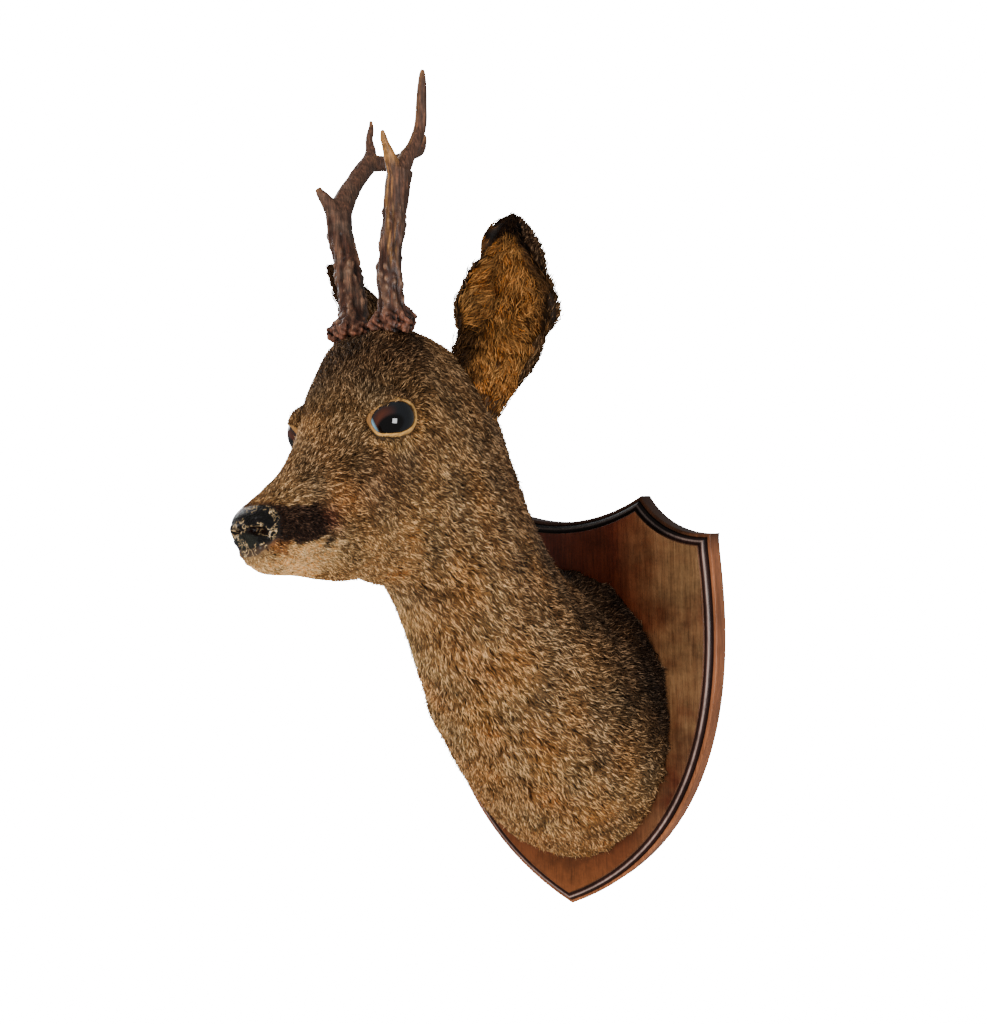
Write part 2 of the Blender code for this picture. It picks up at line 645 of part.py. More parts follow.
def arc_points(start, end, half_sweep, steps):
    """Points of a circular arc that sags below the chord, without its last point."""
    chord = end - start
    reach = chord.length / 2
    radius = reach / math.sin(half_sweep)
    down = Vector((chord.y, -chord.x)).normalized()
    if down.y > 0:
        down = -down
    centre = (start + end) / 2 - down * radius * math.cos(half_sweep)
    first = start - centre
    last = end - centre
    sweep = first.angle_signed(last)
    return [centre + Matrix.Rotation(-sweep * i / steps, 2) @ first for i in range(steps)]


def bezier_points(corners, steps):
    points = []
    for i in range(steps):
        t = i / steps
        weights = ((1 - t) ** 3, 3 * t * (1 - t) ** 2, 3 * t * t * (1 - t), t ** 3)
        points.append(sum((Vector(c) * w for c, w in zip(corners, weights)), Vector((0.0, 0.0))))
    return points


def shield_outline():
    """The outline in the wall plane, from the right point over the dip and down the left side."""
    top = SHIELD_HEIGHT / 2
    point = Vector((SHIELD_POINT_HALF_SPAN, top))
    shoulder = Vector((SHIELD_SHOULDER_HALF_SPAN, top - SHIELD_SHOULDER_DROP))
    foot = Vector((0.0, -top))
    dip = arc_points(Vector((-point.x, point.y)), point, SHIELD_DIP_HALF_SWEEP, DIP_STEPS)
    notch = arc_points(point, shoulder, SHIELD_NOTCH_HALF_SWEEP, NOTCH_STEPS)
    handles = (shoulder, SHIELD_SIDE_UPPER_HANDLE, SHIELD_SIDE_LOWER_HANDLE, foot)
    side = bezier_points(handles, SIDE_STEPS)
    half = notch + side
    mirrored = [Vector((-p.x, p.y)) for p in reversed(half[1:])]
    return dip + half + [foot] + mirrored


def inset(outline, distance):
    moved = []
    count = len(outline)
    for i, point in enumerate(outline):
        before = (point - outline[i - 1]).normalized()
        after = (outline[(i + 1) % count] - point).normalized()
        first = Vector((before.y, -before.x))
        second = Vector((after.y, -after.x))
        moved.append(point + (first + second) * distance / (1 + first.dot(second)))
    return moved


def make_shield(collection):
    outline = shield_outline()
    rings = []
    for inward, forward in MOULDING:
        rings.append([Vector((p.x, -forward, p.y)) for p in inset(outline, inward)])
    return loft("shield", rings, collection, fan_caps=False)


def main():
    clear_scene()
    mount = make_collection("roe_deer_shoulder_mount")
    scratch = make_collection("cutters")
    paint(make_shield(mount), MAHOGANY)
    paint(make_neck(mount), COAT)
    head = make_head(mount)
    add_ear_roots(head, scratch)
    add_pedicles(head, scratch)
    bed_antlers(head, scratch)
    shape_eyelids(head, scratch)
    cut_mouth_and_nostrils(head, scratch)
    paint(head, COAT)
    paint(make_ear(1, "ear_left", mount), EAR_COAT)
    paint(make_ear(-1, "ear_right", mount), EAR_COAT)
    paint(make_eye(1, "eye_left", mount), GLASS_EYE)
    paint(make_eye(-1, "eye_right", mount), GLASS_EYE)
    make_antler("antler_left_beam", LEFT_BEAM, LEFT_TINES, 0, mount, scratch)
    make_antler("antler_right_beam", RIGHT_BEAM, RIGHT_TINES, 1, mount, scratch)


main()
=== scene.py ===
"""Roe deer shoulder mount on a wooden wall shield, dressed over its solids.

One skin stands for the neck, the head and the ears and lies inside them by the depth
of the coat. The coat lies over it in small tufts that follow the hair. The skin and
the coat take their markings from the same function. Metres throughout.
"""
import math

import bmesh
import bpy
import numpy as np
from mathutils import Matrix, Vector


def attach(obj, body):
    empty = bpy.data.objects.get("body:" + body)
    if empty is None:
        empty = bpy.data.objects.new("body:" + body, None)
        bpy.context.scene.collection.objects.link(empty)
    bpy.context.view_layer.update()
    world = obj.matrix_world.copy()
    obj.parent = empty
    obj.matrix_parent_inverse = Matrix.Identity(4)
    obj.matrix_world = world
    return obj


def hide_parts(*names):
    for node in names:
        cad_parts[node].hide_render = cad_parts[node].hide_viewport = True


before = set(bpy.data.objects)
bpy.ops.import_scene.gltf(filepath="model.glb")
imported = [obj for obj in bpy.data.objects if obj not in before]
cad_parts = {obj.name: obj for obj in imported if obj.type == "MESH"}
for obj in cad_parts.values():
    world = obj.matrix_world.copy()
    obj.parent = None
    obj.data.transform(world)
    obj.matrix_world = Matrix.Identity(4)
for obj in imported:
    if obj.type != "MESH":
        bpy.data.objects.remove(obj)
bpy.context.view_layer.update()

bl_info = {
    "name": "Roe deer shoulder mount",
    "version": (1, 0, 0),
    "blender": (4, 5, 0),
    "location": "3D View > Sidebar > Deer",
    "description": "Skin, coat, eyes, antlers and wall shield of a roe deer shoulder mount",
    "category": "Object",
}

# Sizes that several pieces share
SHIELD_HEIGHT = 0.357
SHIELD_POINT_HALF_SPAN = 0.0767
SHIELD_SHOULDER_HALF_SPAN = 0.1397
SHIELD_SHOULDER_DROP = 0.0325
SHIELD_DIP_HALF_SWEEP = 0.539
SHIELD_NOTCH_HALF_SWEEP = 0.578
SHIELD_SIDE_UPPER_HANDLE = (0.1285, 0.150)
SHIELD_SIDE_LOWER_HANDLE = (0.1946, -0.0918)
SHIELD_PANEL_THICKNESS = 0.0258
MOULDING_WIDTH = 0.0105           # the colours of the edge and the moulding spread over this
PANEL_STARTS = 0.0100             # further in than this lies the wood of the panel
BACK_FACE_Y = -0.0010             # what lies nearer the wall than this is the board's back

NOSE_REACH = 0.4347
NOSE_HEIGHT = 0.167
HEAD_PITCH = math.radians(29.5)
HEAD_TILT = math.radians(7.0)
HEAD_TURN = math.radians(-3.2)
TURN_PIVOT_Y = -0.2735
NOSE = np.array((0.0, -NOSE_REACH, NOSE_HEIGHT))
BACK = np.array((0.0, math.cos(HEAD_PITCH), math.sin(HEAD_PITCH)))
ABOVE = np.array((0.0, -math.sin(HEAD_PITCH), math.cos(HEAD_PITCH)))
HEAD_AXES = np.array(((1.0, 0.0, 0.0), BACK, ABOVE))


def on_head(back, above, side=0.0):
    """Point of the head before it is tilted and turned."""
    return NOSE + BACK * back + ABOVE * above + np.array((side, 0.0, 0.0))


def pose_matrix(weight=1.0):
    nose = Vector(NOSE)
    to_nose = Matrix.Translation(nose)
    tilt = to_nose @ Matrix.Rotation(-HEAD_TILT * weight, 4, Vector(BACK)) @ to_nose.inverted()
    to_pivot = Matrix.Translation((0.0, TURN_PIVOT_Y, 0.0))
    turn = to_pivot @ Matrix.Rotation(-HEAD_TURN * weight, 4, "Z") @ to_pivot.inverted()
    return np.array(turn @ tilt)


HEAD_POSE = pose_matrix()


def posed(points, matrix=HEAD_POSE):
    return points @ matrix[:3, :3].T + matrix[:3, 3]


def neck_section(low, top, half_width, widest=0.0, share=0.0):
    return (*low, *top, half_width, widest, 1.0, 1.0, share)


def head_section(low, top, half_width, widest, crown, jaw):
    low_point = on_head(*low)
    top_point = on_head(*top)
    return (*low_point[1:], *top_point[1:], half_width, widest, crown, jaw, 1.0)


NECK_BASE_Y = -(SHIELD_PANEL_THICKNESS + 0.0003)
SECTIONS = np.array((
    neck_section((NECK_BASE_Y, -0.1370), (NECK_BASE_Y, 0.1180), 0.1020),
    neck_section((-0.046, -0.1265), (-0.043, 0.1150), 0.1000),
    neck_section((-0.089, -0.0940), (-0.062, 0.1140), 0.0925),
    neck_section((-0.130, -0.0520), (-0.083, 0.1200), 0.0810),
    neck_section((-0.171, -0.0060), (-0.103, 0.1360), 0.0700, share=0.05),
    neck_section((-0.204, 0.0370), (-0.121, 0.1595), 0.0612, share=0.15),
    neck_section((-0.231, 0.0740), (-0.136, 0.1880), 0.0555, share=0.30),
    neck_section((-0.250, 0.0960), (-0.149, 0.2180), 0.0520, share=0.45),
    neck_section((-0.264, 0.1070), (-0.164, 0.2480), 0.0500, share=0.62),
    neck_section((-0.276, 0.1140), (-0.186, 0.2775), 0.0485, widest=0.05, share=0.78),
    neck_section((-0.286, 0.1200), (-0.221, 0.2955), 0.0472, widest=0.1, share=0.90),
    head_section((0.0960, -0.1085), (0.2130, 0.0330), 0.0458, 0.14, 0.90, 1.05),
    head_section((0.0910, -0.1035), (0.1820, 0.0385), 0.0440, 0.18, 0.90, 1.05),
    head_section((0.0850, -0.0975), (0.1560, 0.0365), 0.0420, 0.23, 0.98, 1.05),
    head_section((0.0790, -0.0910), (0.1360, 0.0270), 0.0398, 0.26, 1.12, 1.05),
    head_section((0.0720, -0.0870), (0.1170, 0.0196), 0.0352, 0.25, 1.12, 1.05),
    head_section((0.0640, -0.0830), (0.0980, 0.0138), 0.0298, 0.22, 1.12, 1.05),
    head_section((0.0550, -0.0775), (0.0800, 0.0086), 0.0250, 0.18, 1.12, 1.05),
    head_section((0.0450, -0.0690), (0.0640, 0.0050), 0.0216, 0.14, 1.08, 1.05),
    head_section((0.0335, -0.0598), (0.0490, 0.0034), 0.0198, 0.10, 1.00, 1.05),
    head_section((0.0245, -0.0522), (0.0360, 0.0026), 0.0188, 0.10, 0.95, 1.03),
    head_section((0.0158, -0.0460), (0.0260, 0.0030), 0.0178, 0.10, 0.92, 1.00),
    head_section((0.0080, -0.0410), (0.0168, 0.0026), 0.0164, 0.10, 0.92, 1.00),
    head_section((0.0026, -0.0362), (0.0095, 0.0010), 0.0135, 0.10, 0.94, 1.00),
    head_section((-0.0004, -0.0298), (0.0052, -0.0032), 0.0085, 0.10, 0.95, 1.00),
))
LAST = len(SECTIONS) - 1
HEAD_STARTS = 6.0
RINGS_ON_NECK = 78
RINGS_ON_HEAD = 226
SIDES = 250
THICKEST_COAT = 0.0046
SKIN_UNDER_COAT = (0.60, 0.54, 0.46)    # the skin is darker and browner than the hair

# Swellings and hollows of the face: place (side, back, above), reach, rise
FACE_FORMS = (
    ((0.0340, 0.1280, 0.0160), 0.0120, 0.0020),
    ((0.0215, 0.1790, 0.0315), 0.0190, 0.0072),
    ((0.0390, 0.1270, -0.0040), 0.0170, 0.0008),
    ((0.0300, 0.1040, -0.0060), 0.0130, -0.0034),
    ((0.0400, 0.1380, -0.0300), 0.0180, 0.0022),
    ((0.0230, 0.0760, -0.0300), 0.0200, -0.0024),
    ((0.0140, 0.0140, -0.0060), 0.0080, 0.0020),
    ((0.0180, 0.0300, -0.0300), 0.0120, 0.0016),
    ((0.0110, 0.0200, -0.0460), 0.0110, 0.0012),
    ((0.0400, 0.1120, -0.0750), 0.0260, 0.0024),
)

EYE_RADIUS = 0.0172
EYE_FRONT = (0.1240, -0.0026, 0.0470)
EYE_AXIS = (0.84, -0.54, 0.07)
EYE_OPENING = (0.0170, 0.0164, 0.0122, 0.0100)    # towards the rear, front, top, bottom
LID_THICKNESS = 0.0012
SKIN_OVER_EYE = 0.0007            # least skin over the eyeball next to the lids
MORE_SKIN_OVER_EYE = 0.0006       # added further from the lids
MOUTH_LINE = (
    (0.0000, 0.0020, -0.0232), (0.0070, 0.0042, -0.0243), (0.0145, 0.0090, -0.0292),
    (0.0180, 0.0205, -0.0352), (0.0195, 0.0350, -0.0413), (0.0200, 0.0450, -0.0420),
)
NOSTRIL = (0.0092, 0.0050, -0.0085)

EAR_ROOT = (0.2500, -0.0280, 0.0420)
EAR_TIPS = {1: np.array((0.0800, -0.2245, 0.3750)), -1: np.array((-0.0900, -0.2200, 0.3620))}
EAR_OPENINGS = {1: np.array((0.60, -0.80, -0.10)), -1: np.array((-0.60, -0.80, -0.10))}
# Share of the ear's length, inner half width, outer half width
EAR_WIDTHS = np.array((
    (-0.36, 0.0120, 0.0120), (-0.20, 0.0185, 0.0185), (-0.08, 0.0235, 0.0240),
    (0.02, 0.0245, 0.0300), (0.10, 0.0252, 0.0325), (0.20, 0.0299, 0.0330),
    (0.30, 0.0364, 0.0325), (0.40, 0.0385, 0.0305), (0.48, 0.0362, 0.0298),
    (0.60, 0.0313, 0.0280), (0.66, 0.0255, 0.0260), (0.72, 0.0200, 0.0246),
    (0.80, 0.0160, 0.0240), (0.85, 0.0115, 0.0218), (0.90, 0.0095, 0.0180),
    (0.94, 0.0074, 0.0127), (0.97, 0.0042, 0.0080), (1.0, 0.0020, 0.0020),
))
EAR_DEPTHS = np.array((
    (-0.36, 0.0140), (-0.15, 0.0200), (0.0, 0.0200), (0.25, 0.0158), (1.0, 0.0136),
))
EAR_SWAY = 0.009
EAR_BOW = 0.007
EAR_ROOT_FILL = 0.012
EAR_CUP_START = 0.05
EAR_CUP_LENGTH = 0.25
EAR_SKIN = 0.0016
EAR_COAT = 0.0016

# Antlers: centre line and radius, from the foot to the fork or the tip
LEFT_BEAM = (
    (0.0155, -0.2790, 0.2960, 0.0096), (0.0160, -0.2821, 0.3060, 0.0092),
    (0.0176, -0.2873, 0.3359, 0.0081),
    (0.0212, -0.2861, 0.3664, 0.0078), (0.0236, -0.2834, 0.3930, 0.0087),
    (0.0250, -0.2820, 0.4040, 0.0088),
)
LEFT_TINES = (
    (
        (0.0250, -0.2826, 0.4000, 0.0064), (0.0262, -0.2752, 0.4140, 0.0055),
        (0.0274, -0.2698, 0.4215, 0.0048),
        (0.0288, -0.2627, 0.4368, 0.0043), (0.0308, -0.2626, 0.4557, 0.0038),
        (0.0325, -0.2637, 0.4662, 0.0031),
        (0.0333, -0.2643, 0.4722, 0.0023), (0.0339, -0.2646, 0.4757, 0.0014),
    ),
    (
        (0.0244, -0.2835, 0.3960, 0.0066), (0.0232, -0.2891, 0.4085, 0.0048),
        (0.0232, -0.2944, 0.4175, 0.0031),
        (0.0242, -0.2988, 0.4232, 0.0022), (0.0250, -0.3010, 0.4266, 0.0013),
    ),
)
RIGHT_BEAM = (
    (-0.0246, -0.2785, 0.2905, 0.0098), (-0.0256, -0.2760, 0.3010, 0.0096),
    (-0.0288, -0.2702, 0.3195, 0.0097),
    (-0.0340, -0.2674, 0.3456, 0.0095), (-0.0383, -0.2691, 0.3667, 0.0087),
    (-0.0408, -0.2678, 0.3860, 0.0096),
)
RIGHT_TINES = (
    (
        (-0.0405, -0.2680, 0.3840, 0.0090), (-0.0411, -0.2600, 0.3980, 0.0080),
        (-0.0415, -0.2485, 0.4119, 0.0068),
        (-0.0418, -0.2400, 0.4211, 0.0067), (-0.0416, -0.2290, 0.4318, 0.0064),
        (-0.0417, -0.2240, 0.4370, 0.0052),
    ),
    (
        (-0.0405, -0.2680, 0.3840, 0.0088), (-0.0444, -0.2738, 0.3930, 0.0056),
        (-0.0474, -0.2775, 0.3992, 0.0037),
        (-0.0496, -0.2798, 0.4040, 0.0022),
    ),
    (
        (-0.0416, -0.2290, 0.4318, 0.0062), (-0.0433, -0.2244, 0.4420, 0.0042),
        (-0.0451, -0.2234, 0.4520, 0.0029),
        (-0.0452, -0.2205, 0.4600, 0.0022), (-0.0456, -0.2198, 0.4668, 0.0013),
    ),
    (
        (-0.0414, -0.2270, 0.4328, 0.0062), (-0.0375, -0.2131, 0.4350, 0.0056),
        (-0.0330, -0.1984, 0.4414, 0.0042),
        (-0.0301, -0.1782, 0.4506, 0.0029), (-0.0299, -0.1734, 0.4588, 0.0025),
        (-0.0291, -0.1728, 0.4650, 0.0014),
    ),
)


# Helpers
def unit(vectors):
    return vectors / np.maximum(np.linalg.norm(vectors, axis=-1, keepdims=True), 1e-12)


def ramp(values, start, end):
    """Smooth step from 0 at start to 1 at end."""
    t = np.clip((values - start) / (end - start), 0.0, 1.0)
    return t * t * (3 - 2 * t)


def mottle(points, size, seed):
    """Soft pattern between about -1 and 1, with blotches of the given size."""
    draw = np.random.default_rng(seed)
    total = np.zeros(points.shape[:-1])
    for _ in range(7):
        wave = unit(draw.normal(size=3)) * (2 * math.pi / size) * draw.uniform(0.6, 1.6)
        total += np.sin(points @ wave + draw.uniform(0, 2 * math.pi))
    return total / 3.0


def smooth_rows(rows, stations):
    """Cubic curve through rows of numbers, read at stations counted in rows."""
    table = np.array(rows, dtype=float)
    slopes = np.gradient(table, axis=0)
    index = np.clip(np.floor(stations).astype(int), 0, len(table) - 2)
    t = (np.asarray(stations) - index)[:, None]
    start, end = table[index], table[index + 1]
    rise, fall = slopes[index], slopes[index + 1]
    blend = 3 * t ** 2 - 2 * t ** 3
    return (start + (end - start) * blend
            + rise * (t ** 3 - 2 * t ** 2 + t) + fall * (t ** 3 - t ** 2))


def select_none():
    if bpy.context.mode != "OBJECT":
        bpy.ops.object.mode_set(mode="OBJECT")
    bpy.ops.object.select_all(action="DESELECT")


def activate(piece):
    select_none()
    piece.select_set(True)
    bpy.context.view_layer.objects.active = piece


def piece_from_arrays(name, points, faces, smooth=True):
    """Mesh object from an array of points and arrays of triangles or quads."""
    mesh = bpy.data.meshes.new(name)
    mesh.vertices.add(len(points))
    mesh.vertices.foreach_set("co", np.asarray(points, np.float32).ravel())
    corners = np.concatenate([np.asarray(block).ravel() for block in faces]).astype(np.int32)
    counts = np.concatenate([np.full(len(block), np.asarray(block).shape[1]) for block in faces])
    starts = np.concatenate(([0], np.cumsum(counts)[:-1])).astype(np.int32)
    mesh.loops.add(len(corners))
    mesh.loops.foreach_set("vertex_index", corners)
    mesh.polygons.add(len(counts))
    mesh.polygons.foreach_set("loop_start", starts)
    mesh.update(calc_edges=True)
    mesh.polygons.foreach_set("use_smooth", np.full(len(counts), smooth))
    piece = bpy.data.objects.new(name, mesh)
    bpy.context.scene.collection.objects.link(piece)
    return piece


def colour_points(piece, name, colours):
    layer = piece.data.color_attributes.new(name, "FLOAT_COLOR", "POINT")
    values = np.ones((len(colours), 4), np.float32)
    values[:, :3] = np.clip(colours, 0.0, 1.0)
    layer.data.foreach_set("color", values.ravel())


def value_points(piece, name, values):
    layer = piece.data.attributes.new(name, "FLOAT", "POINT")
    layer.data.foreach_set("value", np.asarray(values, np.float32).ravel())


def place_uv(piece, name, per_vertex):
    """UV map from one place for each vertex."""
    layer = piece.data.uv_layers.new(name=name)
    index = np.empty(len(piece.data.loops), np.int32)
    piece.data.loops.foreach_get("vertex_index", index)
    layer.data.foreach_set("uv", np.asarray(per_vertex, np.float32)[index].ravel())


# The flesh: neck and head as one grid
def one_side(local):
    """Head places with the right side folded onto the left."""
    return np.concatenate((np.abs(local[..., :1]), local[..., 1:]), -1)


def flesh_places(stations, angles):
    """Unposed points of the flesh, and how much of the head's pose each ring takes."""
    rows = smooth_rows(SECTIONS, stations)
    low_y, low_z, top_y, top_z, half, widest, crown, jaw = (rows[:, k, None] for k in range(8))
    across, along = np.sin(angles)[None], np.cos(angles)[None]
    power = np.where(along > 0, crown, jaw)
    across = np.sign(across) * np.abs(across) ** power
    along = np.sign(along) * np.abs(along) ** power
    along = along + widest * (1 - along ** 2)
    rise = (along + 1) / 2
    points = np.stack(
        (half * across, low_y + (top_y - low_y) * rise, low_z + (top_z - low_z) * rise), -1)
    centre = np.stack((0 * low_y, (low_y + top_y) / 2, (low_z + top_z) / 2), -1)
    local = (points - NOSE) @ HEAD_AXES.T
    shift = np.zeros(points.shape[:2])
    for place, reach, height in FACE_FORMS:
        apart = one_side(local) - place
        shift += height * np.exp(-(apart ** 2).sum(-1) / reach ** 2)
    points = points + unit(points - centre) * shift[..., None]
    return points, rows[:, 8]


def read(grid, row, column):
    """Value of a grid between its points; the columns close on themselves."""
    rows, columns = grid.shape[:2]
    row = np.clip(row, 0, rows - 1.001)
    i = row.astype(int)
    column = np.mod(column, columns)
    j = column.astype(int) % columns
    s, t = row - i, column - np.floor(column)
    if grid.ndim == 3:
        s, t = s[:, None], t[:, None]
    k = (j + 1) % columns
    return (grid[i, j] * (1 - s) * (1 - t) + grid[i + 1, j] * s * (1 - t)
            + grid[i, k] * (1 - s) * t + grid[i + 1, k] * s * t)


def grid_normals(points):
    """Outward normals of a grid that closes on itself along its second axis."""
    down = np.gradient(points, axis=0)
    round_ = np.roll(points, -1, 1) - np.roll(points, 1, 1)
    return unit(np.cross(down, round_))


def eye_places(side):
    """Centre, axis and the sideways and upward directions of an unposed eye."""
    back, above, across = EYE_FRONT
    axis = unit(np.array((side * EYE_AXIS[0], EYE_AXIS[1], EYE_AXIS[2])) @ HEAD_AXES)
    centre = on_head(back, above, side * across) - axis * EYE_RADIUS
    rear = unit(BACK - axis * (BACK @ axis))
    upper = unit(np.cross(rear, axis) * -side)
    return centre, axis, rear, upper


def lid_radius(angle):
    """Half opening of the lids at an angle from the rear corner, upwards."""
    rear, front, top, bottom = EYE_OPENING
    level = angle + 0.38
    x = np.cos(level) / np.where(np.cos(level) > 0, rear, front)
    y = np.sin(level) / np.where(np.sin(level) > 0, top, bottom)
    corner = np.exp(-((np.mod(angle, 2 * math.pi) - math.pi * 1.06) / 0.24) ** 2)
    return (1 + 0.11 * corner) / np.hypot(x, y)


def lid_angle(turn):
    """Angle from the eye's axis to the edge of the lids."""
    return np.arcsin(lid_radius(turn) / (EYE_RADIUS + LID_THICKNESS))


def eye_polar(points, side):
    """Angle from the eye's axis as a share of the lids' opening, turn round it, distance."""
    centre, axis, rear, upper = eye_places(side)
    away = points - centre
    x, y, front = away @ rear, away @ upper, away @ axis
    turn = np.arctan2(y, x)
    distance = np.linalg.norm(away, axis=-1)
    far_out = np.maximum(distance / (EYE_RADIUS + 0.0040), 1) ** 1.2
    ratio = np.arctan2(np.hypot(x, y), front) / lid_angle(turn) * far_out
    return np.where(distance < 0.045, ratio, 9.0), turn, distance


def lid_edge(points, side):
    """Angle of the lids' margin where the skin really opens, read round the eye."""
    centre, axis, rear, upper = eye_places(side)
    ratio, turn, _ = eye_polar(points, side)
    away = points - centre
    angle = np.arctan2(np.hypot(away @ rear, away @ upper), away @ axis)
    near = (ratio > 0.86) & (ratio < 1.16)
    turns, opened = turn[near], (angle / ratio)[near]
    places = np.linspace(-math.pi, math.pi, 49)
    apart = (turns[None] - places[:, None] + math.pi) % (2 * math.pi) - math.pi
    weight = np.exp(-(apart / 0.12) ** 2) + 1e-9
    return places, (weight * opened[None]).sum(1) / weight.sum(1)


def lid_band(turn):
    """Width of the pale margin of the lids, as a share of the opening."""
    rear, low = np.clip(np.cos(turn), 0, 1), np.clip(-np.sin(turn), 0, 1)
    front = np.exp(-((turn - 2.5) / 0.5) ** 2)
    return 0.06 + 0.10 * low + 0.18 * rear + 0.10 * front


def lid_colour(turn):
    """Cream below and behind, tan in front, brown on top."""
    front = np.exp(-((turn - 2.6) / 0.7) ** 2)[:, None] * 0.9
    top = np.exp(-((turn - 1.4) / 0.6) ** 2)[:, None] * 0.75
    colour = COAT["lid"] * (1 - front) + np.array((0.2700, 0.1300, 0.0480)) * front
    return colour * (1 - top) + np.array((0.1900, 0.1000, 0.0450)) * top


def eye_turn(local):
    """Turn round the nearer eye, from its rear corner upwards."""
    centre, _, rear, upper = eye_places(1)
    away = one_side(local) @ HEAD_AXES + NOSE - centre
    return np.arctan2(away @ upper, away @ rear)


def shape_lids(points):
    for side in (1, -1):
        centre = eye_places(side)[0]
        ratio, angle, distance = eye_polar(points, side)
        upper = np.clip(np.sin(angle), 0, 1)
        rim = EYE_RADIUS + LID_THICKNESS + 0.0005 * upper
        inside = EYE_RADIUS - 0.0022
        wanted = np.where(ratio < 1.0, inside, rim)
        wanted -= 0.0013 * np.exp(-((ratio - 1.24) / 0.07) ** 2) * upper
        wanted += 0.0011 * np.exp(-((ratio - 1.42) / 0.12) ** 2) * upper
        held = 1 - ramp(ratio, 1.16, 1.60)
        radius = distance + (wanted - distance) * held
        least = EYE_RADIUS + SKIN_OVER_EYE + MORE_SKIN_OVER_EYE * ramp(ratio, 1.3, 1.6)
        radius = np.where(ratio > 1.02, np.maximum(radius, least), radius)
        away = (points - centre) / distance[..., None]
        points = np.where((ratio < 3)[..., None], centre + away * radius[..., None], points)
    return points


def line_distance(local, line):
    """Distance from head places to a line that is the same on both sides, and how far along."""
    place = one_side(local)
    best = np.full(place.shape[:-1], 9.0)
    along = np.zeros_like(best)
    points = smooth_rows(line, np.linspace(0, len(line) - 1, 41))
    for k, (a, b) in enumerate(zip(points, points[1:])):
        t = np.clip(((place - a) @ (b - a)) / ((b - a) @ (b - a)), 0, 1)
        apart = np.linalg.norm(place - (a + t[..., None] * (b - a)), axis=-1)
        near = apart < best
        best = np.where(near, apart, best)
        along = np.where(near, (k + t) / 40, along)
    return best, along


TEAR_SLIT = ((0.0352, 0.1045, -0.0010), (0.0345, 0.1005, -0.0060), (0.0335, 0.0985, -0.0115))
PHILTRUM = ((0.0000, 0.0010, -0.0090), (0.0000, 0.0000, -0.0170), (0.0000, 0.0010, -0.0230))


def shape_face(points, normals, local):
    """Mouth, lips, nostrils, philtrum, tear slit and small folds."""
    place = one_side(local)
    shift = np.zeros(points.shape[:-1])
    mouth, along = line_distance(local, MOUTH_LINE)
    thin = 1 - 0.5 * ramp(along, 0.7, 1.0)
    shift -= 0.0030 * thin * np.exp(-(mouth / 0.0011) ** 2)
    shift += 0.0011 * thin * np.exp(-((mouth - 0.0030) / 0.0016) ** 2)
    groove, _ = line_distance(local, PHILTRUM)
    shift -= 0.0014 * np.exp(-(groove / 0.0010) ** 2)
    slit, _ = line_distance(local, TEAR_SLIT)
    shift -= 0.0024 * np.exp(-(slit / 0.0011) ** 2)
    shift += 0.0008 * np.exp(-((slit - 0.0030) / 0.0015) ** 2)
    away = place - NOSTRIL
    long_way = away[..., 1] * 0.55 - away[..., 2] * 0.83
    cross_way = away[..., 1] * 0.83 + away[..., 2] * 0.55
    bend = cross_way + 26.0 * long_way ** 2
    deep = (long_way / 0.0046) ** 2 + (bend / 0.0019) ** 2 + (away[..., 0] / 0.008) ** 2
    hole = np.exp(-deep ** 1.5)
    shift -= 0.0050 * hole
    wing = ((long_way / 0.0064) ** 2 + (bend / 0.0040) ** 2 + (away[..., 0] / 0.009) ** 2) ** 0.5
    shift += 0.0009 * np.exp(-((wing - 1.0) / 0.35) ** 2)
    return points + normals * shift[..., None], hole, mouth, slit


def coat_depth(stations):
    return np.interp(stations, (0, 2, 6, 10, 14, 18, 20.5, 22, LAST), np.array(
        (4.6, 4.2, 3.6, 3.0, 2.4, 1.7, 0.9, 0.35, 0.25)) * 0.001)


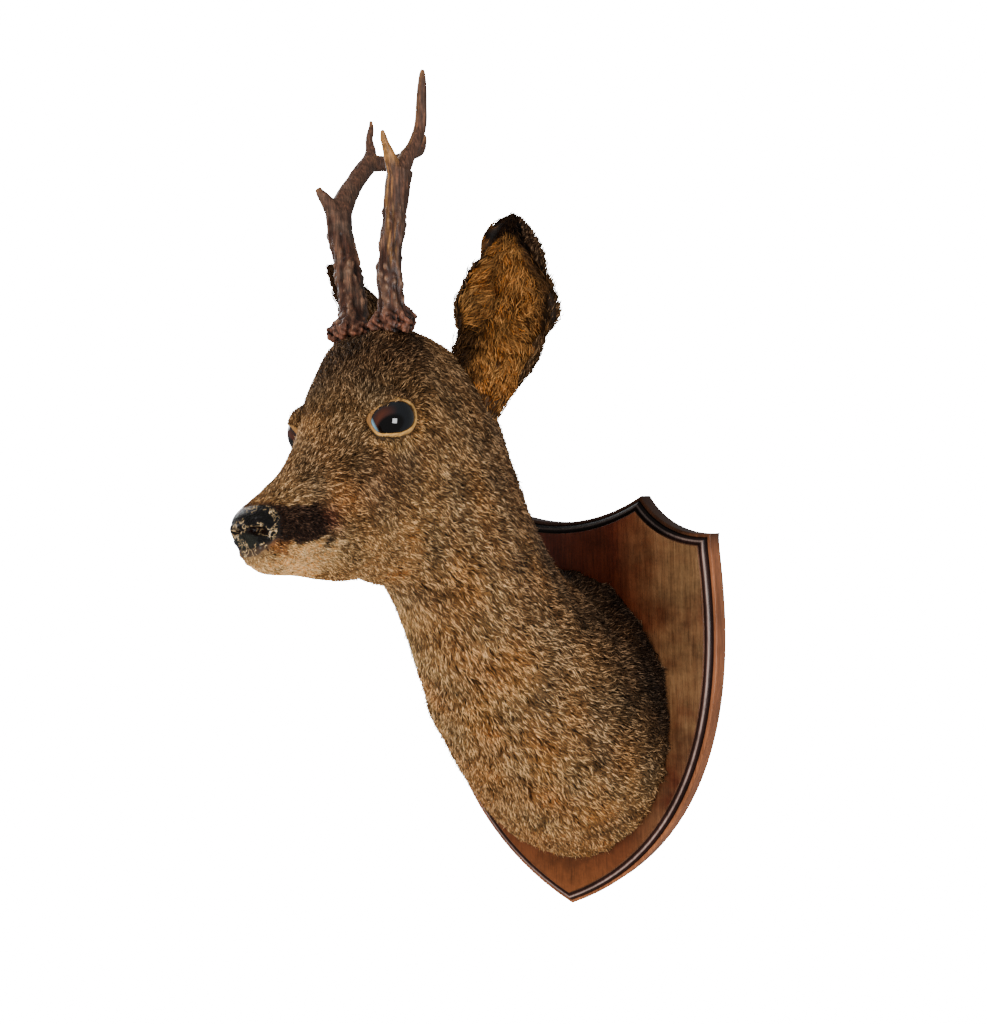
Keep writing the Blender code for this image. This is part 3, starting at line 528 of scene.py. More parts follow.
class Flesh:
    """The skin of neck and head as a grid, with what the coat needs to lie on it."""

    def __init__(self):
        neck = HEAD_STARTS * np.linspace(0, 1, RINGS_ON_NECK, endpoint=False) ** 1.12
        head = np.linspace(HEAD_STARTS, LAST, RINGS_ON_HEAD)
        self.stations = np.concatenate((neck, head))
        self.angles = np.arange(SIDES) * 2 * math.pi / SIDES
        outer, share = flesh_places(self.stations, self.angles)
        hub, last, steps = outer[-1].mean(0), outer[-1], 14
        bend = np.arange(1, steps + 1) * math.pi / 2 / steps
        front = [hub + (last - hub) * max(math.cos(turn), 0.02) - BACK * 0.0026 * math.sin(turn)
                 for turn in bend]
        outer = np.concatenate((outer, front))
        self.stations = np.concatenate((self.stations, LAST + np.arange(1, steps + 1) / steps / 2))
        share = np.concatenate((share, np.ones(steps)))
        normals = grid_normals(outer)
        depth = coat_depth(self.stations)[:, None]
        bare = outer - normals * depth[..., None]
        folds = 0.0009 * mottle(outer * (1, 1, 0.45), 0.055, 4) + 0.0009 * mottle(outer, 0.021, 5)
        on_neck = 1 - ramp(self.stations, 8.5, 14)[:, None]
        bare = bare + normals * (folds * (0.25 + 0.75 * on_neck))[..., None]
        bare[0] = outer[0] - normals[0] * depth[0]
        bare[0, :, 1] = NECK_BASE_Y
        self.local = (bare - NOSE) @ HEAD_AXES.T
        head_part = (self.stations > 9.5)[:, None]
        detailed, hole, mouth, slit = shape_face(bare, normals, self.local)
        left, left_turn, _ = eye_polar(detailed, 1)
        right, right_turn, _ = eye_polar(detailed, -1)
        self.ratio = np.where(head_part, np.minimum(left, right), 9.0)
        self.lid_turn = np.where(left < right, left_turn, right_turn)
        self.lid_edges = {1: lid_edge(detailed, 1), -1: lid_edge(detailed, -1)}
        detailed = shape_lids(detailed)
        bare = np.where(head_part[..., None], detailed, bare)
        self.hole = hole * head_part
        self.mouth = np.where(head_part, mouth, 1.0)
        self.slit = np.where(head_part, slit, 1.0)
        self.local = (bare - NOSE) @ HEAD_AXES.T
        self.points = np.stack([
            posed(ring, pose_matrix(weight)) for ring, weight in zip(bare, share)])
        self.normals = grid_normals(self.points)
        lengths = np.linalg.norm(np.diff(self.points, axis=0), axis=-1).mean(1)
        self.reach = np.concatenate(([0], np.cumsum(lengths)))


# Markings of the coat
COAT = {
    "agouti": np.array((0.1300, 0.0715, 0.0290)),
    "umber": np.array((0.0737, 0.0362, 0.0161)),
    "dark": np.array((0.0388, 0.0198, 0.0095)),
    "black": np.array((0.0068, 0.0034, 0.0022)),
    "tan": np.array((0.2350, 0.1230, 0.0420)),
    "orange": np.array((0.2507, 0.1056, 0.0313)),
    "rust": np.array((0.0728, 0.0216, 0.0095)),
    "grey": np.array((0.1453, 0.0815, 0.0360)),
    "cream": np.array((0.6000, 0.3700, 0.1600)),
    "lid": np.array((0.7400, 0.4300, 0.1300)),
    "patch": np.array((0.0179, 0.0082, 0.0054)),
    "gold": np.array((0.3300, 0.1480, 0.0420)),
}

# Patches of the face: place (side, back, above), reach (side, back, above), colour, strength
FACE_PATCHES = (
    ((0.000, 0.165, 0.030), (0.070, 0.060, 0.030), "dark", 0.95),
    ((0.014, 0.110, 0.012), (0.036, 0.040, 0.020), "dark", 0.35),
    ((0.016, 0.170, 0.030), (0.040, 0.036, 0.024), "black", 0.45),
    ((0.030, 0.190, 0.020), (0.030, 0.034, 0.030), "dark", 0.80),
    ((0.034, 0.205, 0.034), (0.022, 0.026, 0.022), "black", 0.55),
    ((0.010, 0.070, -0.002), (0.024, 0.030, 0.014), "umber", 0.60),
    ((0.026, 0.092, -0.026), (0.030, 0.030, 0.018), "umber", 0.70),
    ((0.036, 0.112, -0.022), (0.030, 0.022, 0.014), "dark", 0.45),
    ((0.044, 0.150, -0.030), (0.030, 0.030, 0.020), "grey", 0.45),
    ((0.030, 0.075, -0.080), (0.060, 0.060, 0.022), "tan", 0.95),
    ((0.024, 0.050, -0.060), (0.034, 0.026, 0.016), "tan", 0.60),
    ((0.030, 0.130, -0.090), (0.060, 0.050, 0.026), "tan", 0.80),
    ((0.030, 0.085, -0.086), (0.060, 0.060, 0.024), "orange", 0.40),
    ((0.030, 0.105, -0.094), (0.060, 0.056, 0.026), "cream", 0.14),
    ((0.044, 0.165, -0.052), (0.040, 0.040, 0.030), "tan", 0.45),
    ((0.018, 0.062, -0.024), (0.018, 0.014, 0.010), "orange", 0.35),
    ((0.020, 0.0480, -0.0290), (0.014, 0.0130, 0.0110), "rust", 1.10),
    ((0.021, 0.0430, -0.0400), (0.014, 0.0060, 0.0045), "patch", 0.95),
    ((0.014, 0.0120, -0.0460), (0.030, 0.0300, 0.0145), "cream", 1.50),
    ((0.008, 0.0040, -0.0340), (0.024, 0.0160, 0.0110), "cream", 1.30),
    ((0.020, 0.0340, -0.0460), (0.016, 0.0130, 0.0060), "cream", 0.75),
    ((0.019, 0.0420, -0.0400), (0.010, 0.0100, 0.0036), "black", 0.95),
)


UPPER_LIP = (
    (0.0160, 0.0050, -0.0205), (0.0165, 0.0110, -0.0252), (0.0175, 0.0180, -0.0302),
    (0.0185, 0.0260, -0.0348), (0.0195, 0.0360, -0.0385),
)


def lay(base, colour, share):
    """Lay a colour, or a named one of the coat, over an array of colours."""
    over = COAT[colour] if isinstance(colour, str) else np.asarray(colour)
    share = np.clip(share, 0, 1)[:, None]
    base[:] = base * (1 - share) + over * share


def velvet(local):
    """Dark short-haired patch between the bare nose and the cheek: 1 on it, 0 off it."""
    back, above = local[:, 1] * 1000, local[:, 2] * 1000
    upper = np.interp(back, (10.0, 14.1, 17.5, 19.7, 25.9, 34.1, 48.4, 54.0),
                      (4.0, 3.4, 2.6, 0.9, -3.9, -9.2, -16.5, -24.0))
    lower = np.interp(back, (7.0, 17.0, 33.2, 54.2), (-20.0, -25.2, -34.6, -35.8))
    ragged = 0.9 * mottle(local, 0.004, 52)
    inside = ramp(upper - above + ragged, -0.8, 1.4) * ramp(above - lower + ragged, -0.8, 1.2)
    return inside * (1 - ramp(back + 2 * ragged, 40.0, 57.0))


def flesh_colour(points, local, stations, angles, ratio):
    """Colour of the coat on neck and head. Arrays of one length."""
    side = np.abs(local[:, 0])
    back, above = local[:, 1], local[:, 2]
    base = np.broadcast_to(COAT["agouti"], points.shape).copy()

    on_neck = 1 - ramp(stations, 7.0, 12.0)
    front = ramp(-np.cos(angles), 0.15, 0.95)
    lay(base, "grey", on_neck * 0.70)
    # Partly the paler fur of the front of the neck and partly painted light: the tan and orange lie
    # on the side that faces the lamps
    lay(base, "tan", on_neck * front * (0.85 + 0.2 * mottle(points, 0.06, 22)))
    lay(base, "orange", on_neck * front * 0.45 * (0.5 + 0.5 * mottle(points, 0.05, 21)))
    lay(base, "umber", on_neck * 0.35 * ramp(mottle(points * (1, 1, 1.6), 0.045, 23), 0.2, 1.0))
    # The back of the neck darkens towards the board: partly its darker, nearly black fur and partly
    # painted shade on the side away from the lamps
    nape = ramp(np.cos(angles), -0.30, 0.60)
    lay(base, "umber", (1 - ramp(stations, 8.0, 14.0)) * nape * 0.85)
    lay(base, "dark", (1 - ramp(stations, 5.0, 9.0)) * ramp(np.cos(angles), -0.15, 0.55) * 0.50)
    near_board = 1 - ramp(stations, 0.3, 4.0)
    lay(base, "dark", near_board * ramp(np.cos(angles), -0.75, 0.05) * 0.80)
    lay(base, "black", near_board * ramp(np.cos(angles), -0.45, 0.15) * 0.95)
    # Painted shade all round where the neck meets the board
    lay(base, "dark", (1 - ramp(stations, 0.1, 1.2)) * 0.45)
    on_head_share = ramp(stations, 9.5, 12.5)
    for place, reach, name, strength in FACE_PATCHES:
        apart = np.stack(((side - place[0]) / reach[0], (back - place[1]) / reach[1],
                          (above - place[2]) / reach[2]), -1)
        lay(base, name, strength * np.exp(-((apart ** 2).sum(-1)) ** 1.5) * on_head_share)
    lay(base, "patch", 0.97 * velvet(local) * on_head_share)
    lip, along = line_distance(local, UPPER_LIP)
    lay(base, "orange", 1.4 * np.exp(-(lip / 0.0040) ** 4) * (1 - ramp(along, 0.30, 0.55))
        * on_head_share)
    lay(base, "cream", 1.4 * np.exp(-(lip / 0.0034) ** 4) * ramp(along, 0.20, 0.50) * on_head_share)
    behind = np.exp(-((eye_turn(local) - 0.80) / 0.60) ** 2)
    lay(base, "umber", 0.95 * np.exp(-((ratio - 1.24) / 0.13) ** 2)
        * ramp(above, -0.004, 0.004) * behind)
    lay(base, "dark", 0.85 * np.exp(-((ratio - 1.58) / 0.32) ** 2)
        * ramp(above, -0.006, 0.005) * behind)
    lay(base, "tan", 0.75 * np.exp(-((ratio - 1.55) / 0.25) ** 2)
        * (1 - ramp(above, -0.014, -0.002)))
    base *= 1 + 0.22 * mottle(points, 0.030, 8)[:, None] + 0.20 * mottle(points, 0.010, 9)[:, None]
    warm = mottle(points, 0.045, 10)[:, None] * np.array((0.08, 0.0, -0.12))
    return np.clip(base * (1 + warm), 0.002, 1)


# Tufts
TUFT_FACES = np.array(((0, 3, 1), (0, 2, 3), (0, 1, 2), (4, 1, 3), (4, 3, 2), (4, 2, 1)))
TUFT_U = np.array((0.5, 0.0, 1.0, 0.5, 0.5))
TUFT_V = np.array((0.0, 0.5, 0.5, 0.5, 1.0))
UV_PATCH = 0.003
UV_MARGIN = 0.004
DARK_LOCKS = 0.80                 # draws above this make a dark tuft
PALE_LOCKS_LIMIT = 0.30
BRIGHTEST_LOCK = 0.84


def cell_areas(grid):
    down = np.linalg.norm(np.diff(grid, axis=0), axis=-1)
    return down * np.linalg.norm(np.roll(grid, -1, 1) - grid, axis=-1)[:-1]


def in_surface(way, normals):
    return unit(way - normals * (way * normals).sum(-1, keepdims=True))


def turned(way, up, turn):
    """Directions turned in the surface, and the directions across the unturned ones."""
    across = np.cross(up, way)
    return way * np.cos(turn)[:, None] + across * np.sin(turn)[:, None], across


def make_tufts(name, root, middle, tip, middle_up, width, colours, root_uv):
    """One coat piece of spindle-shaped tufts through root, middle and tip."""
    across = unit(np.cross(unit(tip - root), middle_up))
    half = (width / 2)[:, None]
    corners = np.stack((
        root, middle - across * half, middle + across * half, middle + middle_up * half * 0.7, tip,
    ), 1)
    count = len(root)
    faces = (TUFT_FACES[None] + 5 * np.arange(count)[:, None, None]).reshape(-1, 3)
    piece = piece_from_arrays(name, corners.reshape(-1, 3), [faces])
    shades = np.repeat(colours, (1, 3, 1), axis=1)
    colour_points(piece, "coat", shades.reshape(-1, 3))
    places = root_uv[:, None, :] + UV_PATCH * (np.stack((TUFT_U, TUFT_V), -1) - 0.5)[None]
    place_uv(piece, "OFBake", places.reshape(-1, 2))
    return piece


def tuft_shades(base, pale, dark, draw):
    """Root, middle and tip colour of each tuft: dark roots, pale locks over darker ones."""
    count = len(base)
    tone = draw.uniform(0.66, 1.42, count)
    tone = np.where(pale, draw.uniform(2.6, 5.0, count), tone)
    tone = np.where(dark, draw.uniform(0.14, 0.44, count), tone)[:, None]
    tint = np.where(dark[:, None], (1.05, 0.72, 0.42), (1.0, 0.93, 0.84))
    tint = np.where(pale[:, None], (1.0, 1.03, 1.03), tint)
    lock = base * tone * tint * 1.16
    ginger = (draw.random(count) < 0.34) & (base[:, 0] > 0.30) & ~pale
    lock = np.where(ginger[:, None], lock * (0.84, 0.66, 0.46), lock)
    lock = lock / np.maximum(lock.max(1, keepdims=True) / BRIGHTEST_LOCK, 1)
    bleached = lock.max(1, keepdims=True) * (1.0, 0.72, 0.44)
    lock = np.where(pale[:, None], lock * 0.82 + bleached * 0.18, lock)
    root = base * (0.40, 0.29, 0.19)
    middle = np.clip(lock, 0.001, 0.86)
    tip = np.clip(lock * np.where(pale, 1.15, 0.80)[:, None], 0.001, 0.86)
    return np.stack((root, middle, tip), 1)


# Materials
class Look:
    """A node tree, with one short call for each kind of node in it."""

    def __init__(self, tree, material=None):
        self.tree = tree
        self.material = material

    @classmethod
    def named(cls, name):
        """New material and its look."""
        material = bpy.data.materials.new(name)
        material.use_nodes = True
        return cls(material.node_tree, material)

    def feed(self, socket, value):
        """Join a socket to the output of another node, or give it a plain value."""
        if isinstance(value, bpy.types.NodeSocket):
            self.tree.links.new(value, socket)
        elif socket.type == "RGBA":
            socket.default_value = (*value, 1.0)
        else:
            socket.default_value = value

    def add(self, kind, output, feeds, **settings):
        """One output of a new node, with its settings and what feeds its sockets."""
        made = self.tree.nodes.new("ShaderNode" + kind)
        for key, value in settings.items():
            setattr(made, key, value)
        for key, value in feeds.items():
            self.feed(made.inputs[key], value)
        return made.outputs[output]

    def attribute(self, name, output="Fac"):
        return self.add("Attribute", output, {}, attribute_name=name)

    def uv(self, name):
        return self.add("UVMap", "UV", {}, uv_map=name)

    def places(self):
        return self.add("TexCoord", "Object", {})

    def axes(self, places):
        """X, Y and Z of a place."""
        return self.add("SeparateXYZ", 0, {"Vector": places}).node.outputs

    def stretch(self, places, scale):
        return self.add("Mapping", "Vector", {"Vector": places, "Scale": scale})

    def noise(self, places, scale, detail, **more):
        feeds = {"Vector": places, "Scale": scale, "Detail": detail, **more}
        return self.add("TexNoise", "Fac", feeds)

    def shades(self, share, *stops):
        """Colour ramp; each stop is a share and a grey level or a colour."""
        output = self.add("ValToRGB", "Color", {"Fac": share})
        elements = output.node.color_ramp.elements
        while len(elements) < len(stops):
            elements.new(0.5)
        for element, (position, colour) in zip(elements, stops):
            element.position = position
            element.color = (*(colour if isinstance(colour, tuple) else 3 * (colour,)), 1.0)
        return output

    def mix(self, share, first, second, blend="MIX"):
        feeds = {0: share, 6: first, 7: second}
        return self.add("Mix", 2, feeds, data_type="RGBA", blend_type=blend)

    def times(self, colour, other, share=1.0):
        return self.mix(share, colour, other, "MULTIPLY")

    def reckon(self, operation, *values):
        return self.add("Math", 0, dict(enumerate(values)), operation=operation)

    def rescale(self, value, start=0.0, end=1.0, low=0.0, high=1.0):
        """Value from start to end, moved to the range from low to high."""
        return self.add("MapRange", "Result", {
            "Value": value, "From Min": start, "From Max": end, "To Min": low, "To Max": high})

    def finish(self, colour, roughness, specular=None, height=None, strength=1.0, distance=1.0):
        """The material, with colour, gloss and a bump made from the height on its shader."""
        feeds = {"Base Color": colour, "Roughness": roughness}
        if specular is not None:
            feeds["Specular IOR Level"] = specular
        if height is not None:
            feeds["Normal"] = self.add(
                "Bump", "Normal", {"Strength": strength, "Distance": distance, "Height": height})
        for key, value in feeds.items():
            self.feed(self.tree.nodes["Principled BSDF"].inputs[key], value)
        return self.material


def coat_material(name, roughness=0.62):
    """Hair: the colour comes from each tuft, with fine streaks over it."""
    look = Look.named(name)
    streak = look.shades(look.noise(look.places(), 900.0, 2.0), (0.30, 0.62), (0.70, 1.10))
    return look.finish(look.times(look.attribute("coat", "Color"), streak), roughness, 0.10)


def skin_material():
    """Short hair as bump over the marked skin, with a black nose, lids and lips laid bare."""
    look = Look.named("skin")
    coat, nose = look.attribute("coat", "Color"), look.attribute("nose_pad")
    hair = look.noise(look.stretch(look.uv("Lie"), (1500.0, 190.0, 1.0)), 1.0, 3.0, Distortion=0.6)
    hairy = look.shades(hair, (0.32, 0.35), (0.50, 0.85), (0.68, 1.65))
    marked = look.times(coat, look.mix(look.attribute("smooth"), hairy, (1.0, 1.0, 1.0)))

    # The bare nose: a pebbled pad with a few pale chips
    places = look.places()
    pebbles = look.add("TexVoronoi", "Distance", {"Vector": places, "Scale": 620.0},
                       feature="DISTANCE_TO_EDGE")
    chips = look.noise(places, 230.0, 2.0, Roughness=0.50, Distortion=0.8)
    slivers = look.shades(chips, (0.484, 0.0), (0.492, 1.0), (0.514, 1.0), (0.522, 0.0))
    some = look.shades(look.noise(places, 110.0, 1.0), (0.46, 0.0), (0.50, 1.0))
    pad = look.mix(look.reckon("MULTIPLY", slivers, some), coat, (0.5200, 0.3600, 0.1900))
    height = look.mix(nose, hair, look.shades(pebbles, (0.0, 0.0), (0.10, 1.0)))
    gloss = look.rescale(nose, low=0.70, high=0.30)
    return look.finish(look.mix(nose, marked, pad), gloss, 0.25, height, 0.55, 0.0006)


def eye_material():
    """Dark glass eye: long pupil, brown iris that glows as painted light on its upper front side,
    slate rim and a pale crescent at the front corner.
    """
    look = Look.named("glass_eye")
    front = look.uv("Front")
    squashed = look.stretch(front, (1.0, 1.45, 1.0))
    pupil = look.shades(look.add("VectorMath", "Value", {0: squashed}, operation="LENGTH"),
                        (0.46, 0.0), (0.60, 1.0))
    iris = look.shades(
        look.add("VectorMath", "Value", {0: front}, operation="LENGTH"),
        (0.0, (0.010, 0.004, 0.003)), (0.50, (0.040, 0.011, 0.006)), (0.62, (0.024, 0.008, 0.005)),
        (0.72, (0.007, 0.008, 0.010)), (0.86, (0.012, 0.015, 0.018)), (0.93, (0.003, 0.003, 0.004)))
    # Painted light: the iris keeps its reddish brown only on its upper front side, where light
    # through the glass falls, and turns slate-dark as painted shade on the other side
    slant = look.add("VectorMath", "Value", {0: front, 1: (-0.75, 0.90, 0.0)},
                     operation="DOT_PRODUCT")
    lit = look.mix(look.rescale(slant, -0.05, 0.55), (0.0050, 0.0056, 0.0068), iris)
    dark = look.mix(pupil, (0.0010, 0.0007, 0.0007), lit)
    corner = look.rescale(look.axes(front)["X"], -0.50, -0.62)
    return look.finish(look.mix(corner, dark, (0.14, 0.29, 0.38)), 0.03)


def antler_material():
    """Dark ridged antler with paler pearls and tips; the height comes from the shape."""
    look = Look.named("antler")
    places = look.places()
    grain = look.noise(look.stretch(places, (900.0, 900.0, 60.0)), 1.0, 4.0, Distortion=0.4)
    blotch = look.noise(places, 240.0, 3.0)
    lines = look.shades(grain, (0.36, 0.55), (0.54, 0.95), (0.68, (1.7, 1.5, 1.3)))
    spots = look.shades(blotch, (0.35, 0.46), (0.65, 0.72))
    colour = look.times(look.times(look.attribute("antler", "Color"), lines), spots)
    return look.finish(colour, look.rescale(blotch, low=0.34, high=0.62), 0.40, grain, 0.7, 0.0005)


def wood_material():
    """Varnished mahogany, worn on the panel, with a nearly black moulding that carries a painted
    highlight streak, and a brown edge.
    """
    look = Look.named("mahogany")
    inward, places = look.attribute("inward"), look.places()
    axes = look.axes(places)
    grain = look.noise(look.stretch(places, (300.0, 300.0, 11.0)), 1.0, 5.0, Distortion=1.2)
    pore = look.noise(look.stretch(places, (1500.0, 1500.0, 70.0)), 1.0, 2.0)
    cloud = look.noise(places, 17.0, 4.0, Roughness=0.62)
    stain = look.noise(places, 26.0, 6.0, Roughness=0.75)

    # The panel: red wood, worn towards its sides, orange towards its point, with stains
    red = look.shades(grain, (0.28, (0.0600, 0.0098, 0.0036)), (0.50, (0.0820, 0.0145, 0.0050)),
                      (0.74, (0.1080, 0.0230, 0.0076)))
    worn = look.shades(grain, (0.30, (0.1600, 0.0750, 0.0280)), (0.52, (0.2150, 0.1080, 0.0420)),
                       (0.76, (0.2700, 0.1450, 0.0620)))
    outer = look.rescale(look.reckon("ABSOLUTE", axes["X"]), 0.055, 0.115)
    share = look.reckon("MULTIPLY", outer, look.shades(cloud, (0.30, 0.0), (0.56, 1.0)))
    low = look.reckon("MULTIPLY", look.rescale(axes["Z"], -0.08, -0.15), 0.55)
    panel = look.mix(low, look.mix(share, red, worn), (0.3000, 0.0980, 0.0270))
    panel = look.times(panel, look.shades(stain, (0.36, 0.42), (0.56, 1.0)), 0.75)

    # The moulding and the edge, by how far in from the outline they lie; the pale band at 0.56 is a
    # painted highlight, a light's reflection along the ogee
    zone = look.shades(
        look.reckon("DIVIDE", inward, MOULDING_WIDTH),
        (0.0, (0.4300, 0.1500, 0.0580)), (0.22, (0.3700, 0.1250, 0.0480)),
        (0.29, (0.0100, 0.0030, 0.0024)), (0.47, (0.0400, 0.0120, 0.0085)),
        # painted highlight: the pale pinkish stop at 0.56 stands for a light's reflection on the
        # moulding
        (0.56, (0.5600, 0.3700, 0.3000)), (0.67, (0.0500, 0.0160, 0.0115)),
        (0.84, (0.0120, 0.0040, 0.0030)), (0.93, (0.2200, 0.0900, 0.0450)))
    streaks = look.shades(grain, (0.28, 0.55), (0.50, 0.95), (0.74, 1.40))
    topmost = look.rescale(axes["Z"], 0.128, 0.148, 1.0, 0.10)
    shade = look.reckon("MULTIPLY", look.shades(cloud, (0.30, 0.62), (0.60, 1.0)), topmost)
    trim = look.add("VectorMath", 0, {0: look.times(zone, streaks, 0.8), "Scale": shade},
                    operation="SCALE")
    board = look.mix(look.reckon("GREATER_THAN", inward, PANEL_STARTS), trim, panel)
    board = look.times(board, look.shades(pore, (0.34, 0.42), (0.46, 0.66)))

    # Plain unvarnished wood at the back
    bare_wood = look.shades(
        grain, (0.28, (0.0900, 0.0420, 0.0200)), (0.50, (0.1250, 0.0600, 0.0290)),
        (0.74, (0.1600, 0.0800, 0.0400)))
    board = look.mix(look.reckon("GREATER_THAN", axes["Y"], BACK_FACE_Y), board, bare_wood)
    return look.finish(board, look.rescale(cloud, low=0.22, high=0.50), 0.22, pore, 0.30, 0.0004)


def wear(piece, material):
    piece.data.materials.clear()
    piece.data.materials.append(material)
    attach(piece, "root")
    return piece


# Ears
def ear_root_point(side):
    return posed(on_head(EAR_ROOT[0], EAR_ROOT[1], side * EAR_ROOT[2]))


def ear_shape(side):
    """Grid of an ear's skin: rings that run up the back and down the inside of the cup."""
    root, tip, opening = ear_root_point(side), EAR_TIPS[side], EAR_OPENINGS[side]
    along = tip - root
    length = np.linalg.norm(along)
    along = along / length
    front = unit(opening - along * (opening @ along))
    across = np.cross(along, front)
    rings = []
    for t in EAR_SHARES:
        inner_half = np.interp(t, EAR_WIDTHS[:, 0], EAR_WIDTHS[:, 1])
        outer_half = np.interp(t, EAR_WIDTHS[:, 0], EAR_WIDTHS[:, 2])
        taper = min(1.0, 3.2 * (1.02 - t)) ** 0.6
        depth = np.interp(t, EAR_DEPTHS[:, 0], EAR_DEPTHS[:, 1]) * taper
        opened = ramp(np.array(t), EAR_CUP_START, EAR_CUP_START + EAR_CUP_LENGTH)
        inset = EAR_COAT * min(1.0, 6 * (1.03 - t))
        bow = EAR_BOW * math.sin(math.pi * max(t, 0.0))
        sway = math.copysign(EAR_SWAY, tip[0]) * math.sin(math.pi * min(max(t, 0.0) * 1.15, 1.0))
        centre = root + along * (length * t) - front * bow
        centre = centre + np.array((sway * 0.75, abs(sway) * 0.45, 0))
        wall = min(EAR_SKIN, depth * 0.5)
        outer_depth = max(depth - inset, 0.0010)
        inner_depth = (outer_depth - wall) * opened - (EAR_ROOT_FILL - inset) * (1 - opened)
        angle = ear_angles()[:EAR_STEPS]
        sine, cosine = np.sin(angle)[:, None], np.cos(angle)[:, None]
        half = np.where(sine * side > 0, outer_half, inner_half) - inset * 1.2
        outside = centre + across * (half * sine) - front * (outer_depth * cosine)
        inside = centre + across * (half * 0.975 * sine[::-1])
        inside = inside - front * (inner_depth * cosine[::-1])
        rings.append(np.concatenate((outside, inside)))
    return np.array(rings), front


def grid_faces(rows, columns, offset=0):
    i, j = np.meshgrid(np.arange(rows - 1), np.arange(columns), indexing="ij")
    k = (j + 1) % columns
    row, below = i * columns, (i + 1) * columns
    return np.stack((row + j, row + k, below + k, below + j), -1).reshape(-1, 4) + offset


def fan_faces(start, columns, hub, flip=False):
    j = np.arange(columns)
    triangles = np.stack((start + j, start + (j + 1) % columns, np.full(columns, hub)), -1)
    return triangles[:, ::-1] if flip else triangles


EAR_STEPS = 40
EAR_SHARES = np.concatenate((np.linspace(-0.34, 0.9, 66), np.linspace(0.915, 1.0, 10)))


def ear_angles():
    """Angle of each point round a ring: up the back, then down the inside."""
    angle = math.pi * (np.arange(EAR_STEPS) / (EAR_STEPS - 1) - 0.5)
    return np.concatenate((angle, angle[::-1]))


def ear_colour(points, side, inside, share, angle):
    """Colour of the coat on an ear: golden inside, dark at the tip, outer rim and front base; the
    far ear's inside is darkened as painted shade.
    """
    base = np.where(inside[:, None], COAT["gold"], COAT["agouti"] * 0.95)
    outer_rim = ramp(np.sin(angle) * side, 0.55, 0.98)

    lay(base, "tan", inside * (0.25 + 0.5 * mottle(points, 0.016, 31)))
    lay(base, "dark", inside * 0.90 * outer_rim * ramp(share, 0.12, 0.4))
    lay(base, "dark", inside * 0.45 * ramp(mottle(points, 0.012, 32), 0.5, 1.2))
    lay(base, "black", 0.97 * ramp(share + 0.04 * mottle(points, 0.010, 33), 0.77, 0.87))
    # Painted shade: the far ear's inside is darkened because that ear lies in shadow
    if side < 0:
        lay(base, "dark", inside * (0.80 + 0.18 * ramp(share, 0.35, 0.6)))
    lay(base, "black", inside * 0.85 * (1 - ramp(share, 0.14, 0.30))
        * ramp(-np.sin(angle) * side, 0.0, 0.7))
    lay(base, "dark", (~inside) * np.maximum(0.88 * ramp(share, 0.1, 0.5), 0.9 * outer_rim))
    lay(base, "black", (~inside) * 0.55 * ramp(share, 0.40, 0.75))
    base *= 1 + 0.15 * mottle(points, 0.012, 34)[:, None]
    return np.clip(base, 0.002, 1)


# Settings and operators
class DeerSettings(bpy.types.PropertyGroup):
    tufts_each: bpy.props.IntProperty(
        name="Tufts per coat piece", description="Tufts in each stretch of the coat",
        default=28000, min=100, max=33000)
    ear_tufts: bpy.props.IntProperty(
        name="Tufts per ear", description="Tufts on each ear",
        default=22000, min=100, max=33000)
    hair_length: bpy.props.FloatProperty(
        name="Hair length", description="Length of the coat's hair, as a factor of its own length",
        default=1.0, min=0.3, max=1.5, subtype="FACTOR")
    antler_detail: bpy.props.FloatProperty(
        name="Antler detail", description="Size of the smallest form on the antlers",
        default=0.00062, min=0.0005, precision=5, unit="LENGTH")
    floor_colour: bpy.props.FloatVectorProperty(
        name="Floor colour", description="Colour of the floor below the board",
        default=(0.95, 0.95, 0.95), min=0.0, max=1.0, size=3, subtype="COLOR")
    key_power: bpy.props.FloatProperty(
        name="Key light", description="Power that all lights follow", default=27.0, unit="POWER")
    lens: bpy.props.FloatProperty(
        name="Lens", description="Focal length of the camera", default=42.1875, unit="CAMERA")


FLESH = {}


def flesh():
    if not FLESH:
        FLESH["grid"] = Flesh()
    return FLESH["grid"]


def lid_rims():
    """Rounded margins of the lids, as tubes that lie on the eyeballs. Points, faces, and the turn
    round the eye of each point.
    """
    rings, sides = 96, 10
    blocks, faces = [], []
    for number, side in enumerate((1, -1)):
        centre, axis, rear, upper = eye_places(side)
        turn = np.arange(rings) * 2 * math.pi / rings
        places, opened = flesh().lid_edges[side]
        signed = (turn + math.pi) % (2 * math.pi) - math.pi
        open_ = (np.interp(signed, places, opened) * 1.02)[:, None]
        around = rear * np.cos(turn)[:, None] + upper * np.sin(turn)[:, None]
        path = centre + (around * np.sin(open_) + axis * np.cos(open_)) * (EYE_RADIUS + 0.0005)
        out = unit(path - centre)
        ahead = unit(np.roll(path, -1, 0) - np.roll(path, 1, 0))
        wide = np.cross(ahead, out)
        low, rearmost = np.clip(-np.sin(turn), 0, 1), np.clip(np.cos(turn), 0, 1)
        thick = (0.00042 + 0.0004 * low + 0.0005 * rearmost ** 2)[:, None]
        spin = np.arange(sides) * 2 * math.pi / sides
        tube = np.stack([path + thick * (out * math.sin(angle) + wide * math.cos(angle) * 1.3)
                         for angle in spin], 1)
        offset = number * rings * sides
        quads = grid_faces(rings + 1, sides)
        quads = quads % (rings * sides) + offset
        blocks.append(posed(tube.reshape(-1, 3)))
        faces.append(quads)
    return np.concatenate(blocks), np.concatenate(faces), np.tile(np.repeat(signed, sides), 2)


